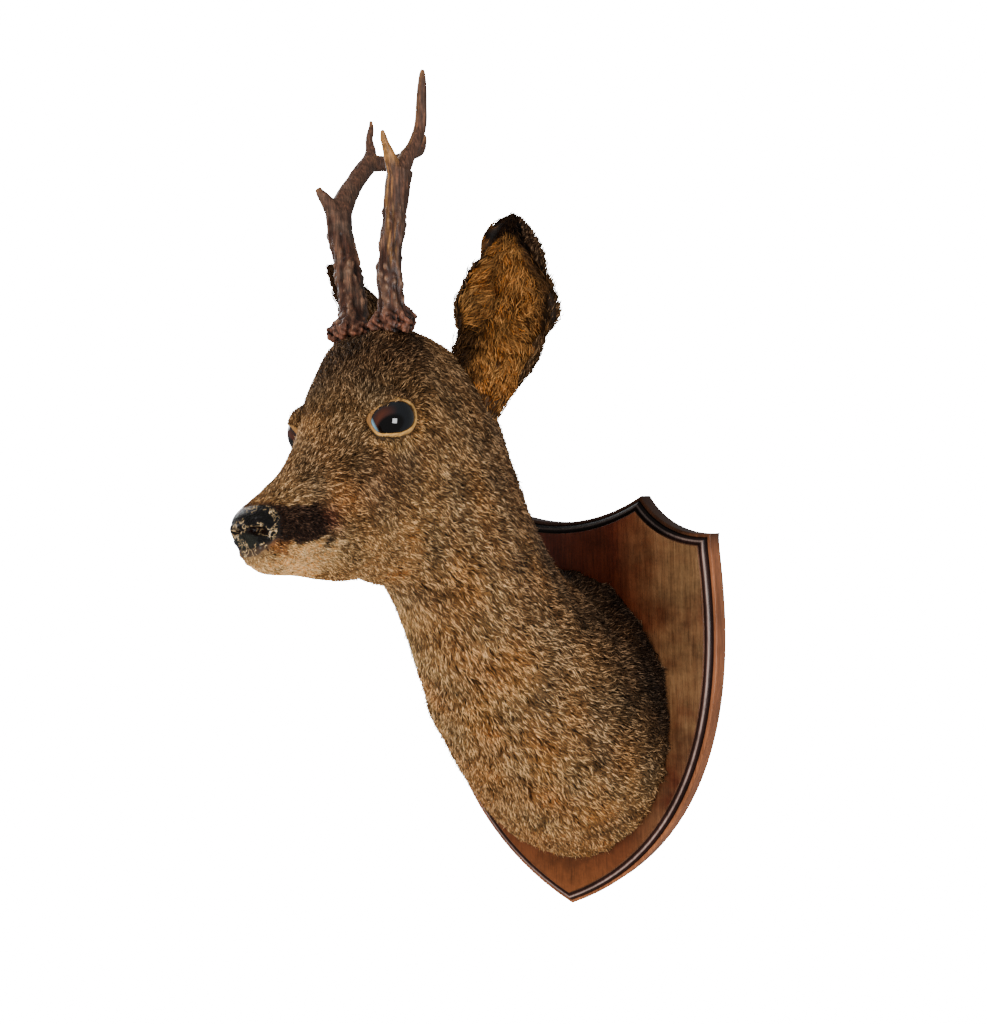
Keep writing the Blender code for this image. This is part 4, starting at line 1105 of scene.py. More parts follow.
class DEER_OT_skin(bpy.types.Operator):
    """One skin over the neck, the head and both ears"""
    bl_idname = "deer.skin"
    bl_label = "Skin"

    def execute(self, context):
        parts = (self.flesh_part(flesh()), self.rim_part(), self.ear_part(1), self.ear_part(-1))
        offsets = np.cumsum([0] + [len(part[0]) for part in parts])
        quads = [part[1] + offset for part, offset in zip(parts, offsets)]
        caps = [cap + offset for part, offset in zip(parts, offsets) for cap in part[2]]
        points, colours, nose, smooth, lie = (
            np.concatenate([part[k] for part in parts]) for k in (0, 3, 4, 5, 6))
        skin = piece_from_arrays("skin", points, [*quads, *caps])
        activate(skin)
        bpy.ops.object.mode_set(mode="EDIT")
        bpy.ops.mesh.select_all(action="SELECT")
        bpy.ops.mesh.normals_make_consistent(inside=False)
        bpy.ops.object.mode_set(mode="OBJECT")
        colour_points(skin, "coat", colours * SKIN_UNDER_COAT)
        value_points(skin, "nose_pad", nose)
        value_points(skin, "smooth", smooth)
        place_uv(skin, "Lie", lie)
        wear(skin, skin_material())
        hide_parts("neck", "head", "ear_left", "ear_right")
        return {"FINISHED"}

    # Each part: points, quads, caps, colours, bare nose, smoothness and lie of the hair

    def flesh_part(self, body):
        rows, columns = body.points.shape[:2]
        flat = body.points.reshape(-1, 3)
        local = body.local.reshape(-1, 3)
        stations = np.repeat(body.stations, columns)
        angles = np.tile(body.angles, rows)
        grids = (body.ratio, body.lid_turn, body.mouth, body.slit, body.hole)
        ratio, turn, mouth, slit, hole = (grid.reshape(-1) for grid in grids)
        colours = flesh_colour(flat, local, stations, angles, ratio)
        # Painted shade: the skin is darkened where the coat is thick, down to about a third, for
        # the shade in the gaps between the tufts
        thick_coat = (coat_depth(stations) / THICKEST_COAT)[:, None] ** 0.5
        colours = colours * (1.05 - 0.70 * thick_coat)

        wide = lid_band(turn)
        lid = 1 - ramp(ratio, 1 + wide, 1.05 + wide)
        lay(colours, lid_colour(turn) * (1 + 0.25 * mottle(flat, 0.004, 41))[:, None], lid)
        lay(colours, COAT["patch"], 1 - ramp(ratio, 0.98, 1.0))
        nose = self.nose_mask(local)
        # Painted sheen: a lighter grey-green patch on the front of the bare nose stands for the
        # reflection of the lights there
        painted_nose_sheen = (1 - ramp(local[:, 1], -0.0005, 0.0040)) * ramp(local[:, 2], -0.019, -0.014)
        lower = 1 - ramp(local[:, 2], -0.0195, -0.0165)
        pad = np.array((0.0050, 0.0046, 0.0045)) + painted_nose_sheen[:, None] * (0.016, 0.021, 0.017)
        lay(colours, pad + lower[:, None] * (0.055, 0.034, 0.022), nose)
        for share in (np.exp(-(mouth / 0.0013) ** 2) * 0.92, np.exp(-(slit / 0.0014) ** 2) * 0.95,
                      np.clip(hole * 1.8, 0, 1)):
            lay(colours, COAT["patch"] * 0.5, share)
        smooth = np.maximum(np.maximum(lid, nose), np.exp(-(mouth / 0.003) ** 2))
        lie = np.stack((angles * 0.045, np.repeat(body.reach, columns)), -1)
        count = len(flat)
        return (
            np.concatenate((flat, [body.points[-1].mean(0), body.points[0].mean(0)])),
            grid_faces(rows, columns),
            (fan_faces(count - columns, columns, count),
             fan_faces(0, columns, count + 1, flip=True)),
            np.concatenate((colours, np.full((2, 3), 0.004))), np.concatenate((nose, (1.0, 0.0))),
            np.concatenate((smooth, np.ones(2))), np.concatenate((lie, np.zeros((2, 2)))))

    @staticmethod
    def rim_part():
        rims, quads, turn = lid_rims()
        colours = lid_colour(turn) * (0.85 + 0.25 * mottle(rims, 0.003, 42))[:, None]
        count = len(rims)
        return rims, quads, (), colours, np.zeros(count), np.ones(count), np.zeros((count, 2))

    @staticmethod
    def ear_part(side):
        grid, _ = ear_shape(side)
        rows, columns = grid.shape[:2]
        points = grid.reshape(-1, 3)
        share = np.repeat(EAR_SHARES, columns)
        angle = np.tile(ear_angles(), rows)
        inside = np.tile(np.arange(columns) >= EAR_STEPS, rows)
        colours = ear_colour(points, side, inside, share, angle) * 0.40
        lie = np.stack((angle * 0.03, share * 0.12), -1)
        hub = len(points)
        return (
            np.concatenate((points, [points[-columns:].mean(0), points[:columns].mean(0)])),
            grid_faces(rows, columns),
            (fan_faces(hub - columns, columns, hub), fan_faces(0, columns, hub + 1, flip=True)),
            np.concatenate((colours, np.full((2, 3), 0.02))), np.zeros(hub + 2), np.zeros(hub + 2),
            np.concatenate((lie, np.zeros((2, 2)))))

    @staticmethod
    def nose_mask(local):
        """Bare nose: how far back it reaches at each height."""
        back, above = local[:, 1], local[:, 2]
        heights = (-24.5, -22.0, -20.0, -18.0, -14.0, -9.5, -4.0, 1.0, 4.0, 6.0)
        reaches = (-3.0, -1.5, 3.0, 8.5, 14.5, 18.0, 21.0, 18.5, 12.5, 8.0)
        rear = np.interp(above * 1000, heights, reaches) / 1000
        rear = rear + 0.0007 * mottle(local, 0.005, 51)
        return 1 - ramp(back, rear - 0.0006, rear + 0.0006)


PALE_COVER = 0.32                 # how much of the coat pale locks may cover
COAT_BANDS = (
    # name, first and last station, length and width of a tuft
    ("coat_neck_base", 0.0, 1.9, 0.0125, 0.00108),
    ("coat_neck_low", 1.9, 3.9, 0.0120, 0.00104),
    ("coat_neck_high", 3.9, 6.6, 0.0115, 0.00100),
    ("coat_throat", 6.6, 9.9, 0.0105, 0.00096),
    ("coat_cheek", 9.9, 12.8, 0.0095, 0.00090),
    ("coat_brow", 12.8, 16.2, 0.0080, 0.00078),
    ("coat_muzzle", 16.2, LAST + 0.4, 0.0068, 0.00066),
)


def lie_of_hair(points, normals, local, stations):
    """Direction in which the hair lies, in the surface."""
    above = local[:, 2]
    forehead = ramp(above, -0.022, 0.010) * ramp(stations, 10.5, 12.5)
    crown = unit(BACK + 0.1 * ABOVE)
    on_neck = 1 - ramp(stations, 5.0, 11.0)
    neck_fall = np.interp(stations, (0, 3, 5, 9), (0.38, 0.38, 0.60, 0.60))
    fall = 0.34 * (1 - on_neck) + neck_fall * on_neck
    by_ear = ramp(local[:, 1], 0.120, 0.150) * ramp(above, -0.065, -0.040) * (1 - on_neck)
    fall = fall + (0.75 - fall) * by_ear
    way = unit(np.stack((0 * fall, 0 * fall + 1, -fall), -1))
    way = way * (1 - forehead[:, None]) + crown * forehead[:, None]
    for side in (1, -1):
        centre = posed(eye_places(side)[0])
        away = points - centre
        distance = np.linalg.norm(away, axis=-1, keepdims=True)
        push = 0.9 * np.exp(-((distance - 0.018) / 0.009) ** 2)
        way = way + unit(away) * push
    return in_surface(way, normals)


class DEER_OT_coat(bpy.types.Operator):
    """Tufts of the coat on the neck and the head, in bands"""
    bl_idname = "deer.coat"
    bl_label = "Coat"

    def execute(self, context):
        settings = context.scene.deer
        body = flesh()
        material = coat_material("coat")
        for number, band in enumerate(COAT_BANDS):
            draw = np.random.default_rng(100 + number)
            wear(self.make_band(body, band, settings, draw), material)
        return {"FINISHED"}

    @staticmethod
    def make_band(body, band, settings, draw):
        name, first, last, length, width = band
        wanted = settings.tufts_each
        rows, columns = body.points.shape[:2]
        first_row = np.interp(first, body.stations, np.arange(rows))
        last_row = np.interp(last, body.stations, np.arange(rows))
        start, end = int(first_row), int(math.ceil(last_row))
        area = cell_areas(body.points)[start:end]
        ratio = body.ratio[start:end]
        local = body.local[start:end]
        nose = DEER_OT_skin.nose_mask(local.reshape(-1, 3)).reshape(area.shape)
        margin = 1 + lid_band(body.lid_turn[start:end])
        margin = margin + 0.05 * np.exp(-((body.lid_turn[start:end] - 0.8) / 0.5) ** 2) - 0.05
        bare = (1 - ramp(ratio, margin, margin + 0.06)) + nose
        bare += np.exp(-(body.mouth[start:end] / 0.0013) ** 2)
        bare += np.exp(-(body.slit[start:end] / 0.0016) ** 2)
        chance = (area * np.clip(1 - bare, 0, 1)).ravel()
        cells = draw.choice(len(chance), size=int(wanted), p=chance / chance.sum())
        row = start + cells // columns + draw.random(len(cells))
        column = cells % columns + draw.random(len(cells))
        keep = (row > first_row + 0.02) & (row < last_row)
        row, column = row[keep], column[keep]
        count = len(row)

        root = read(body.points, row, column)
        up = unit(read(body.normals, row, column))
        place = read(body.local, row, column)
        ratio = read(body.ratio[..., None], row, column)[:, 0]
        station = np.interp(row, np.arange(rows), body.stations)
        angle = np.mod(column, columns) * 2 * math.pi / columns
        way = lie_of_hair(root, up, place, station)
        curly = ramp(place[:, 2], -0.010, 0.010) * ramp(station, 10.5, 13)
        curly = curly * ramp(place[:, 1], 0.07, 0.10)
        swirl = 0.22 * mottle(root, 0.022, 61) + 0.16 * mottle(root, 0.009, 62)
        turn = swirl * (1 + 0.9 * curly) + draw.normal(0, 0.13, count) * (1 + 0.8 * curly)
        way, _ = turned(way, up, turn)

        # How many rows and columns of the grid lie in a metre of the way
        down = read(np.gradient(body.points, axis=0), row, column)
        round_ = read((np.roll(body.points, -1, 1) - np.roll(body.points, 1, 1)) / 2, row, column)
        dd, dr, rr = (down * down).sum(-1), (down * round_).sum(-1), (round_ * round_).sum(-1)
        wd, wr = (way * down).sum(-1), (way * round_).sum(-1)
        determinant = np.maximum(dd * rr - dr * dr, 1e-16)
        per_row = (wd * rr - wr * dr) / determinant
        per_column = (wr * dd - wd * dr) / determinant

        depth = coat_depth(station)
        kind = draw.random(count)
        share = PALE_COVER * area.sum() / (wanted * length * width * 0.25)
        pale, dark = kind < min(share, PALE_LOCKS_LIMIT), kind > DARK_LOCKS
        near_eye = 1 - 0.52 * (1 - ramp(ratio, 1.1, 2.2))
        slit = read(body.slit[..., None], row, column)[:, 0]
        near_eye = np.minimum(near_eye, 0.3 + 0.7 * ramp(slit, 0.001, 0.010))
        mouth = read(body.mouth[..., None], row, column)[:, 0]
        near_lips = 0.78 + 0.22 * ramp(mouth, 0.0, 0.010)
        chin = ramp(-place[:, 2], 0.026, 0.036) * ramp(station, 16.5, 18.5)
        front = (1 - 0.45 * ramp(station, 18.5, 22)) * (1 - chin) + 1.35 * chin
        size = draw.uniform(0.72, 1.25, count) * near_eye * near_lips * front
        reach = length * size * np.where(pale, 1.1, 1.0) * settings.hair_length
        bend = draw.normal(0, 0.085, count) * reach + 0.05 * mottle(root, 0.015, 63) * reach

        def along(share):
            spot = row + per_row * reach * share, column + per_column * reach * share
            return read(body.points, *spot), unit(read(body.normals, *spot))

        middle, middle_up = along(0.55)
        tip, tip_up = along(1.0)
        lift = np.where(pale, draw.uniform(0.65, 1.0, count), draw.uniform(0.35, 0.90, count))
        lift = np.where(dark, draw.uniform(0.10, 0.45, count), lift) * near_eye
        middle = middle + middle_up * (depth * (0.15 + 0.80 * lift))[:, None]
        middle = middle + np.cross(middle_up, unit(tip - root)) * bend[:, None]
        stray = (draw.random(count) < 0.10) * depth * draw.uniform(0.2, 1.1, count)
        rising = depth * (0.10 + 0.90 * lift) + stray
        tip = tip + tip_up * rising[:, None]
        root = root - up * 0.0003
        wall = NECK_BASE_Y - 0.0002
        for spot, normal in ((root, up), (middle, middle_up), (tip, tip_up)):
            beyond = np.maximum(spot[:, 1] - wall, 0)
            outwards = unit(normal * np.array((1, 0, 1)))
            spot += outwards * (beyond * 0.8)[:, None]
            spot[:, 1] = np.minimum(spot[:, 1], wall)
        base = flesh_colour(root, place, station, angle, ratio)
        colours = tuft_shades(base, pale, dark, draw)
        root_uv = np.stack((angle / (2 * math.pi), (row - first_row) / (last_row - first_row)), -1)
        root_uv = UV_MARGIN + (1 - 2 * UV_MARGIN) * root_uv
        widths = width * draw.uniform(0.7, 1.3, count) * (0.55 + 0.45 * near_eye * front)
        widths = widths * np.where(pale, 0.78, 1.0)
        return make_tufts(name, root, middle, tip, middle_up, widths, colours, root_uv)


class DEER_OT_ear_coat(bpy.types.Operator):
    """Short hair on the backs of the ears and long pale hair in their cups"""
    bl_idname = "deer.ear_coat"
    bl_label = "Ear coat"

    def execute(self, context):
        material = coat_material("ear_coat", 0.58)
        for side, name in ((1, "coat_ear_left"), (-1, "coat_ear_right")):
            piece = self.make_ear_coat(side, name, context.scene.deer.ear_tufts)
            wear(piece, material)
        return {"FINISHED"}

    @staticmethod
    def make_ear_coat(side, name, wanted):
        draw = np.random.default_rng(300 + side)
        grid, front = ear_shape(side)
        rows, columns = grid.shape[:2]
        normals = grid_normals(grid)
        centre = grid.mean(1, keepdims=True)
        if ((normals[:, :EAR_STEPS] * -front).sum(-1)).mean() < 0:
            normals = -normals
        area = cell_areas(grid)
        area[EAR_SHARES[:-1] < -0.16] *= 0.2
        rim = np.ones(columns)
        rim[[0, 1, EAR_STEPS - 2, EAR_STEPS - 1, EAR_STEPS, EAR_STEPS + 1, -2, -1]] = 2.2
        area = area * rim
        cells = draw.choice(area.size, size=wanted, p=area.ravel() / area.sum())
        row = cells // columns + draw.random(wanted)
        column = cells % columns + draw.random(wanted)
        point = read(grid, row, column)
        up = unit(read(normals, row, column))
        share = np.interp(row, np.arange(rows), EAR_SHARES)
        angle = ear_angles()[cells % columns]
        inside = (cells % columns) >= EAR_STEPS
        along = unit(EAR_TIPS[side] - ear_root_point(side))
        inwards = unit(read(np.broadcast_to(centre, grid.shape), row, column) - point)
        way = np.broadcast_to(along, point.shape) * 1.0
        edge = ramp(np.abs(np.sin(angle)), 0.35, 0.9)[:, None]
        way = way + np.where(inside[:, None], inwards * 0.9 * edge, -inwards * 0.25 * edge)
        way = in_surface(way, up)
        turn = 0.45 * mottle(point, 0.018, 71) + draw.normal(0, 0.17, wanted)
        turn = turn * np.where(inside, 1.1, 0.6)
        way, across = turned(way, up, turn)
        cup = inside & (share > 0.10)
        length = np.where(
            cup, draw.uniform(0.010, 0.018, wanted), draw.uniform(0.006, 0.010, wanted))
        length = length * np.interp(share, (-0.3, 0.6, 0.85, 1.0), (1.1, 1.0, 0.55, 0.35))
        lift = np.where(cup, draw.uniform(0.10, 0.45, wanted), draw.uniform(0.08, 0.28, wanted))
        curl = draw.normal(0, 0.14, wanted) * length
        middle = point + way * (length * 0.5)[:, None] + up * (length * lift * 0.75)[:, None]
        middle = middle + across * curl[:, None]
        tip = point + way * length[:, None] + up * (length * lift * 0.9)[:, None]
        width = np.where(cup, 0.00070, 0.00095) * draw.uniform(0.6, 1.3, wanted)
        colours = ear_colour(point, side, inside, share, angle)
        kind = draw.random(wanted)
        shades = tuft_shades(colours, (kind < 0.20) & ~inside, kind > DARK_LOCKS, draw)
        soft = np.where(inside, draw.uniform(0.72, 1.22, wanted) ** 2, 1.0)[:, None, None]
        shades = np.clip(shades * soft, 0.001, 0.80)
        root_uv = UV_MARGIN + (1 - 2 * UV_MARGIN) * np.stack((column / columns, row / rows), -1)
        return make_tufts(name, point - up * 0.0002, middle, tip, up, width, shades, root_uv)


class DEER_OT_eyes(bpy.types.Operator):
    """Glass eyes, set in the sockets"""
    bl_idname = "deer.eyes"
    bl_label = "Eyes"

    def execute(self, context):
        material = eye_material()
        turn = HEAD_POSE[:3, :3]
        for side, name in ((1, "glass_eye_left"), (-1, "glass_eye_right")):
            centre, axis, rear, upper = eye_places(side)
            centre = posed(centre)
            axis, rear, upper = turn @ axis, turn @ rear, turn @ upper
            gaze = unit(axis * 0.92 - rear * 0.36 - upper * 0.06)
            rear = unit(rear - gaze * (rear @ gaze))
            upper = unit(upper - gaze * (upper @ gaze) - rear * (upper @ rear))
            select_none()
            facing = Vector(axis).to_track_quat("Z", "Y").to_euler()
            bpy.ops.mesh.primitive_uv_sphere_add(
                segments=72, ring_count=40, radius=EYE_RADIUS, location=centre, rotation=facing)
            eye = context.object
            bpy.ops.object.transform_apply(location=True, rotation=True, scale=True)
            bpy.ops.object.shade_smooth()
            eye.name = name
            eye.data.name = name
            points = np.empty(len(eye.data.vertices) * 3)
            eye.data.vertices.foreach_get("co", points)
            away = (points.reshape(-1, 3) - centre) / EYE_RADIUS
            behind = (away @ gaze < 0)[:, None]
            flat = np.stack((away @ rear, away @ upper), -1)
            place_uv(eye, "Front", np.where(behind, unit(flat), flat))
            wear(eye, material)
            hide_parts("eye_left" if side > 0 else "eye_right")
        return {"FINISHED"}


def round_rows(rows, count, sides):
    """Rings round a stretch of antler, and the centre line they follow."""
    table = smooth_rows(rows, np.linspace(0, len(rows) - 1, count))
    centre = table[:, :3]
    ahead = unit(np.gradient(centre, axis=0))
    side = unit(np.cross(ahead[0], (0.3, 1.0, 0.1)))
    rings = []
    for k in range(count):
        side = unit(side - ahead[k] * (side @ ahead[k]))
        other = np.cross(ahead[k], side)
        angle = np.arange(sides)[:, None] * 2 * math.pi / sides
        rings.append(centre[k] + table[k, 3] * (np.cos(angle) * side + np.sin(angle) * other))
    return np.array(rings), table


def closed_tube(rings, offset):
    """Points and faces of a tube closed by fans."""
    rows, columns = rings.shape[:2]
    points = np.concatenate((rings.reshape(-1, 3), [rings[0].mean(0)], [rings[-1].mean(0)]))
    start_hub, end_hub = offset + rows * columns, offset + rows * columns + 1
    triangles = np.concatenate((
        fan_faces(offset, columns, start_hub, flip=True),
        fan_faces(offset + (rows - 1) * columns, columns, end_hub),
    ))
    return points, grid_faces(rows, columns, offset), triangles


BEAM_RINGS = 90
TINE_RINGS = 60
ANTLER_SIDES = 40
PEARLS = 150
POINTS_AT_ONCE = 4000             # keeps the search for the nearest part of the antler small


class DEER_OT_antlers(bpy.types.Operator):
    """Two ridged, pearled antlers, each grown together at its forks"""
    bl_idname = "deer.antlers"
    bl_label = "Antlers"

    def execute(self, context):
        material = antler_material()
        left = self.make_antler("antler_left", LEFT_BEAM, LEFT_TINES, 0)
        right = self.make_antler("antler_right", RIGHT_BEAM, RIGHT_TINES, 1)
        for antler, word in ((left, "antler_left"), (right, "antler_right")):
            wear(antler, material)
            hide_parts(*[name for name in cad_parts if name.startswith(word)])
        return {"FINISHED"}

    @staticmethod
    def make_antler(name, beam, tines, phase):
        draw = np.random.default_rng(400 + phase)
        blocks, quads, triangles, spine = [], [], [], []
        offset = 0
        for number, rows in enumerate((beam, *tines)):
            count = TINE_RINGS if number else BEAM_RINGS
            rings, table = round_rows(rows, count, ANTLER_SIDES)
            if number == 0:
                steps = np.linalg.norm(np.diff(table[:, :3], axis=0), axis=1)
                gone = np.concatenate(([0], np.cumsum(steps)))
                rings = DEER_OT_antlers.add_burr(rings, table, gone, phase)
            points, sides, caps = closed_tube(rings, offset)
            blocks.append(points)
            quads.append(sides)
            triangles.append(caps)
            offset += len(points)
            thickness = table[:, 3]
            end = np.linspace(0, 1, len(table)) if number else np.linspace(0, 0.55, len(table))
            kind = np.full(len(table), number)
            spine.append(np.column_stack((table[:, :3], thickness, end, kind)))
        antler = piece_from_arrays(name, np.concatenate(blocks), [*quads, *triangles])
        activate(antler)
        remesh = antler.modifiers.new("join", "REMESH")
        remesh.mode = "VOXEL"
        remesh.voxel_size = bpy.context.scene.deer.antler_detail
        soften = antler.modifiers.new("soften", "SMOOTH")
        soften.factor = 0.5
        soften.iterations = 3
        for modifier in ("join", "soften"):
            bpy.ops.object.modifier_apply(modifier=modifier)
        DEER_OT_antlers.carve(antler, np.concatenate(spine), draw, phase)
        return antler

    @staticmethod
    def add_burr(rings, table, gone, phase):
        """Coronet round the foot of the beam, lumpy like beads."""
        angle = np.arange(rings.shape[1]) * 2 * math.pi / rings.shape[1]
        centre = table[:, None, :3]
        out = unit(rings - centre)
        knobs = 1 + 0.30 * np.sin(6 * angle + phase) + 0.22 * np.sin(11 * angle + 2 * phase)
        knobs = knobs + 0.12 * np.sin(17 * angle)
        swell = 0.0056 * np.exp(-((gone - 0.0070) / 0.0072) ** 2)[:, None] * knobs[None]
        return rings + out * swell[..., None]

    @staticmethod
    def carve(antler, spine, draw, phase):
        """Ridges, pearls and pits, pushed along the normals, with colours to match."""
        mesh = antler.data
        count = len(mesh.vertices)
        points = np.empty(count * 3)
        mesh.vertices.foreach_get("co", points)
        points = points.reshape(-1, 3)
        normals = np.empty(count * 3)
        mesh.vertex_normals.foreach_get("vector", normals)
        normals = normals.reshape(-1, 3)
        nearest = np.zeros(count, int)
        for start in range(0, count, POINTS_AT_ONCE):
            part = points[start:start + POINTS_AT_ONCE]
            gap = np.linalg.norm(part[:, None] - spine[None, :, :3], axis=-1)
            gap = gap - 0.5 * spine[None, :, 3]
            nearest[start:start + POINTS_AT_ONCE] = gap.argmin(1)
        line = spine[nearest]
        out = unit(points - line[:, :3])
        turn = np.arctan2(out[:, 1], out[:, 0])
        end = line[:, 4]
        height = points[:, 2]
        is_beam = line[:, 5] == 0
        rough = np.where(is_beam, 1.0 - 0.55 * ramp(height, 0.35, 0.39), 0.28)
        rough = rough * (1 - 0.8 * ramp(end, 0.6, 1.0))
        ridge = np.sin(7 * turn + 3 * np.sin(height * 60 + phase) + 0.8 * mottle(points, 0.02, 81))
        shift = 0.00042 * ridge * rough
        shift += 0.00040 * mottle(points * (1, 1, 0.3), 0.0042, 82 + phase) * rough
        shift += 0.00050 * mottle(points * (1, 1, 0.5), 0.0110, 83) * rough
        beam_places = np.flatnonzero(is_beam & (height < height.min() + 0.085))
        pearls = points[draw.choice(beam_places, PEARLS)]
        burr = np.exp(-((height - height.min() - 0.008) / 0.008) ** 2)
        bumps = np.zeros(count)
        for pearl in pearls:
            size = draw.uniform(0.0009, 0.0019)
            near = np.abs(points - pearl).max(1) < size * 2.5
            apart = np.linalg.norm((points[near] - pearl) * (1, 1, 0.7), axis=1)
            bumps[near] = np.maximum(bumps[near], np.exp(-(apart / size) ** 2) * size * 0.8)
        shift += bumps
        shift += 0.0011 * burr * mottle(points, 0.0048, 84)
        points = points + normals * shift[:, None]
        mesh.vertices.foreach_set("co", points.astype(np.float32).ravel())
        mesh.update()
        mesh.polygons.foreach_set("use_smooth", np.ones(len(mesh.polygons), bool))
        high = np.clip(shift / 0.0012, -1, 1.4)[:, None]
        colour = np.broadcast_to((0.0640, 0.0245, 0.0140), points.shape).copy()

        colour *= 1 + 0.6 * np.clip(high, -1, 0)
        lay(colour, (0.215, 0.108, 0.060), np.clip(high[:, 0], 0, 1) * 0.75)
        lay(colour, (0.1800, 0.0900, 0.0520), ramp(height, 0.372, 0.400) * 0.35)
        lay(colour, (0.2450, 0.1120, 0.0430), ramp(end, 0.70, 0.97) * (~is_beam))
        # Greyish mottled patches, stronger on the far antler
        grey_mottle = np.clip(mottle(points, 0.018, 85) * 0.5, 0, 0.5) * (0.4 + 0.6 * (phase == 1))
        lay(colour, (0.1300, 0.0820, 0.0560), grey_mottle)
        if phase == 0:
            middle = np.interp(height, (0.342, 0.384, 0.430), (-0.86, -1.87, -1.95))
            front = np.exp(-((turn - middle) / 0.17) ** 2)
            front = front + 0.5 * np.exp(-((turn - middle - 0.55) / 0.10) ** 2)
            lines = 0.55 + 0.45 * np.sin(16 * turn + 2 * mottle(points, 0.03, 86))
            streak = np.clip(front * ramp(height, 0.332, 0.35) * lines, 0, 0.85)
            streak = np.maximum(streak, 0.8 * (line[:, 5] == 2) * ramp(height, 0.402, 0.414))
            lay(colour, (0.4200, 0.1900, 0.0480), streak)
        lay(colour, np.array((0.0950, 0.0310, 0.0170)) * (1 + 1.2 * high), burr * 0.7)
        lay(colour, (0.4600, 0.3000, 0.1900), np.clip(bumps / 0.0012, 0, 1) ** 5 * 0.20)
        colour_points(antler, "antler", colour)


# Shield
def arc_circle(start, end, half_sweep):
    """Centre, above the chord, and radius of a dipping arc."""
    chord = end - start
    radius = math.hypot(*chord) / 2 / math.sin(half_sweep)
    over = np.array((-chord[1], chord[0])) / math.hypot(*chord)
    return (start + end) / 2 + over * radius * math.cos(half_sweep), radius


def circles_meet(first, second, near):
    """Point where two circles (centre, radius) cross, the one nearer a given point."""
    (a, ra), (b, rb) = first, second
    apart = math.hypot(*(b - a))
    along = (ra ** 2 - rb ** 2 + apart ** 2) / (2 * apart)
    off = math.sqrt(max(ra ** 2 - along ** 2, 0.0))
    way = (b - a) / apart
    side = np.array((-way[1], way[0]))
    both = (a + way * along + side * off * sign for sign in (1, -1))
    return min(both, key=lambda place: math.hypot(*(place - near)))


def arc_between(centre, radius, start, end, steps):
    first = math.atan2(*(start - centre)[::-1])
    last = math.atan2(*(end - centre)[::-1])
    turn = np.linspace(first, last, steps, endpoint=False)
    return centre + radius * np.stack((np.cos(turn), np.sin(turn)), -1)


DIP_STEPS = 28
NOTCH_STEPS = 16
SIDE_STEPS = 40


def shield_outline(inward):
    """Outline of the shield, drawn in by a distance, seen from the front."""
    top = SHIELD_HEIGHT / 2
    point = np.array((SHIELD_POINT_HALF_SPAN, top))
    shoulder = np.array((SHIELD_SHOULDER_HALF_SPAN, top - SHIELD_SHOULDER_DROP))
    dip_centre, dip_radius = arc_circle(point * (-1, 1), point, SHIELD_DIP_HALF_SWEEP)
    notch_centre, notch_radius = arc_circle(point, shoulder, SHIELD_NOTCH_HALF_SWEEP)
    dip_radius += inward
    notch_radius += inward
    horn = circles_meet((dip_centre, dip_radius), (notch_centre, notch_radius), point)

    t = np.linspace(0, 1, 1200)[:, None]
    corners = (shoulder, SHIELD_SIDE_UPPER_HANDLE, SHIELD_SIDE_LOWER_HANDLE, (0.0, -top))
    weights = ((1 - t) ** 3, 3 * t * (1 - t) ** 2, 3 * t * t * (1 - t), t ** 3)
    side = sum(np.array(corner) * weight for corner, weight in zip(corners, weights))
    ahead = unit(np.gradient(side, axis=0))
    side = side + np.stack((ahead[:, 1], -ahead[:, 0]), -1) * inward
    clear = (np.linalg.norm(side - notch_centre, axis=1) >= notch_radius) & (side[:, 0] >= 0)
    side = side[clear]
    side = side[np.linspace(0, len(side) - 1, SIDE_STEPS + 1).astype(int)]
    side[-1, 0] = 0.0
    dip = arc_between(dip_centre, dip_radius, horn * (-1, 1), horn, DIP_STEPS)
    notch = arc_between(notch_centre, notch_radius, horn, side[0], NOTCH_STEPS)
    half = np.concatenate((notch, side[:-1]))
    return np.concatenate((dip, half, side[-1:], half[:0:-1] * (-1, 1)))


# Fine section of the edge: how far in from the outline, how far from the wall
FINE_MOULDING = (
    (0.0000, 0.0006), (0.0000, 0.0188), (0.0002, 0.0195), (0.0009, 0.0202), (0.0027, 0.0203),
    (0.0030, 0.0201), (0.0032, 0.0208), (0.0035, 0.0217), (0.0041, 0.0227), (0.0049, 0.0235),
    (0.0060, 0.0242), (0.0072, 0.0246), (0.0084, 0.0247), (0.0092, 0.0246), (0.0095, 0.0244),
    (0.0097, 0.0246), (0.0098, 0.0252), (0.0102, 0.0257), (0.0108, 0.0258), (0.0170, 0.0258),
)


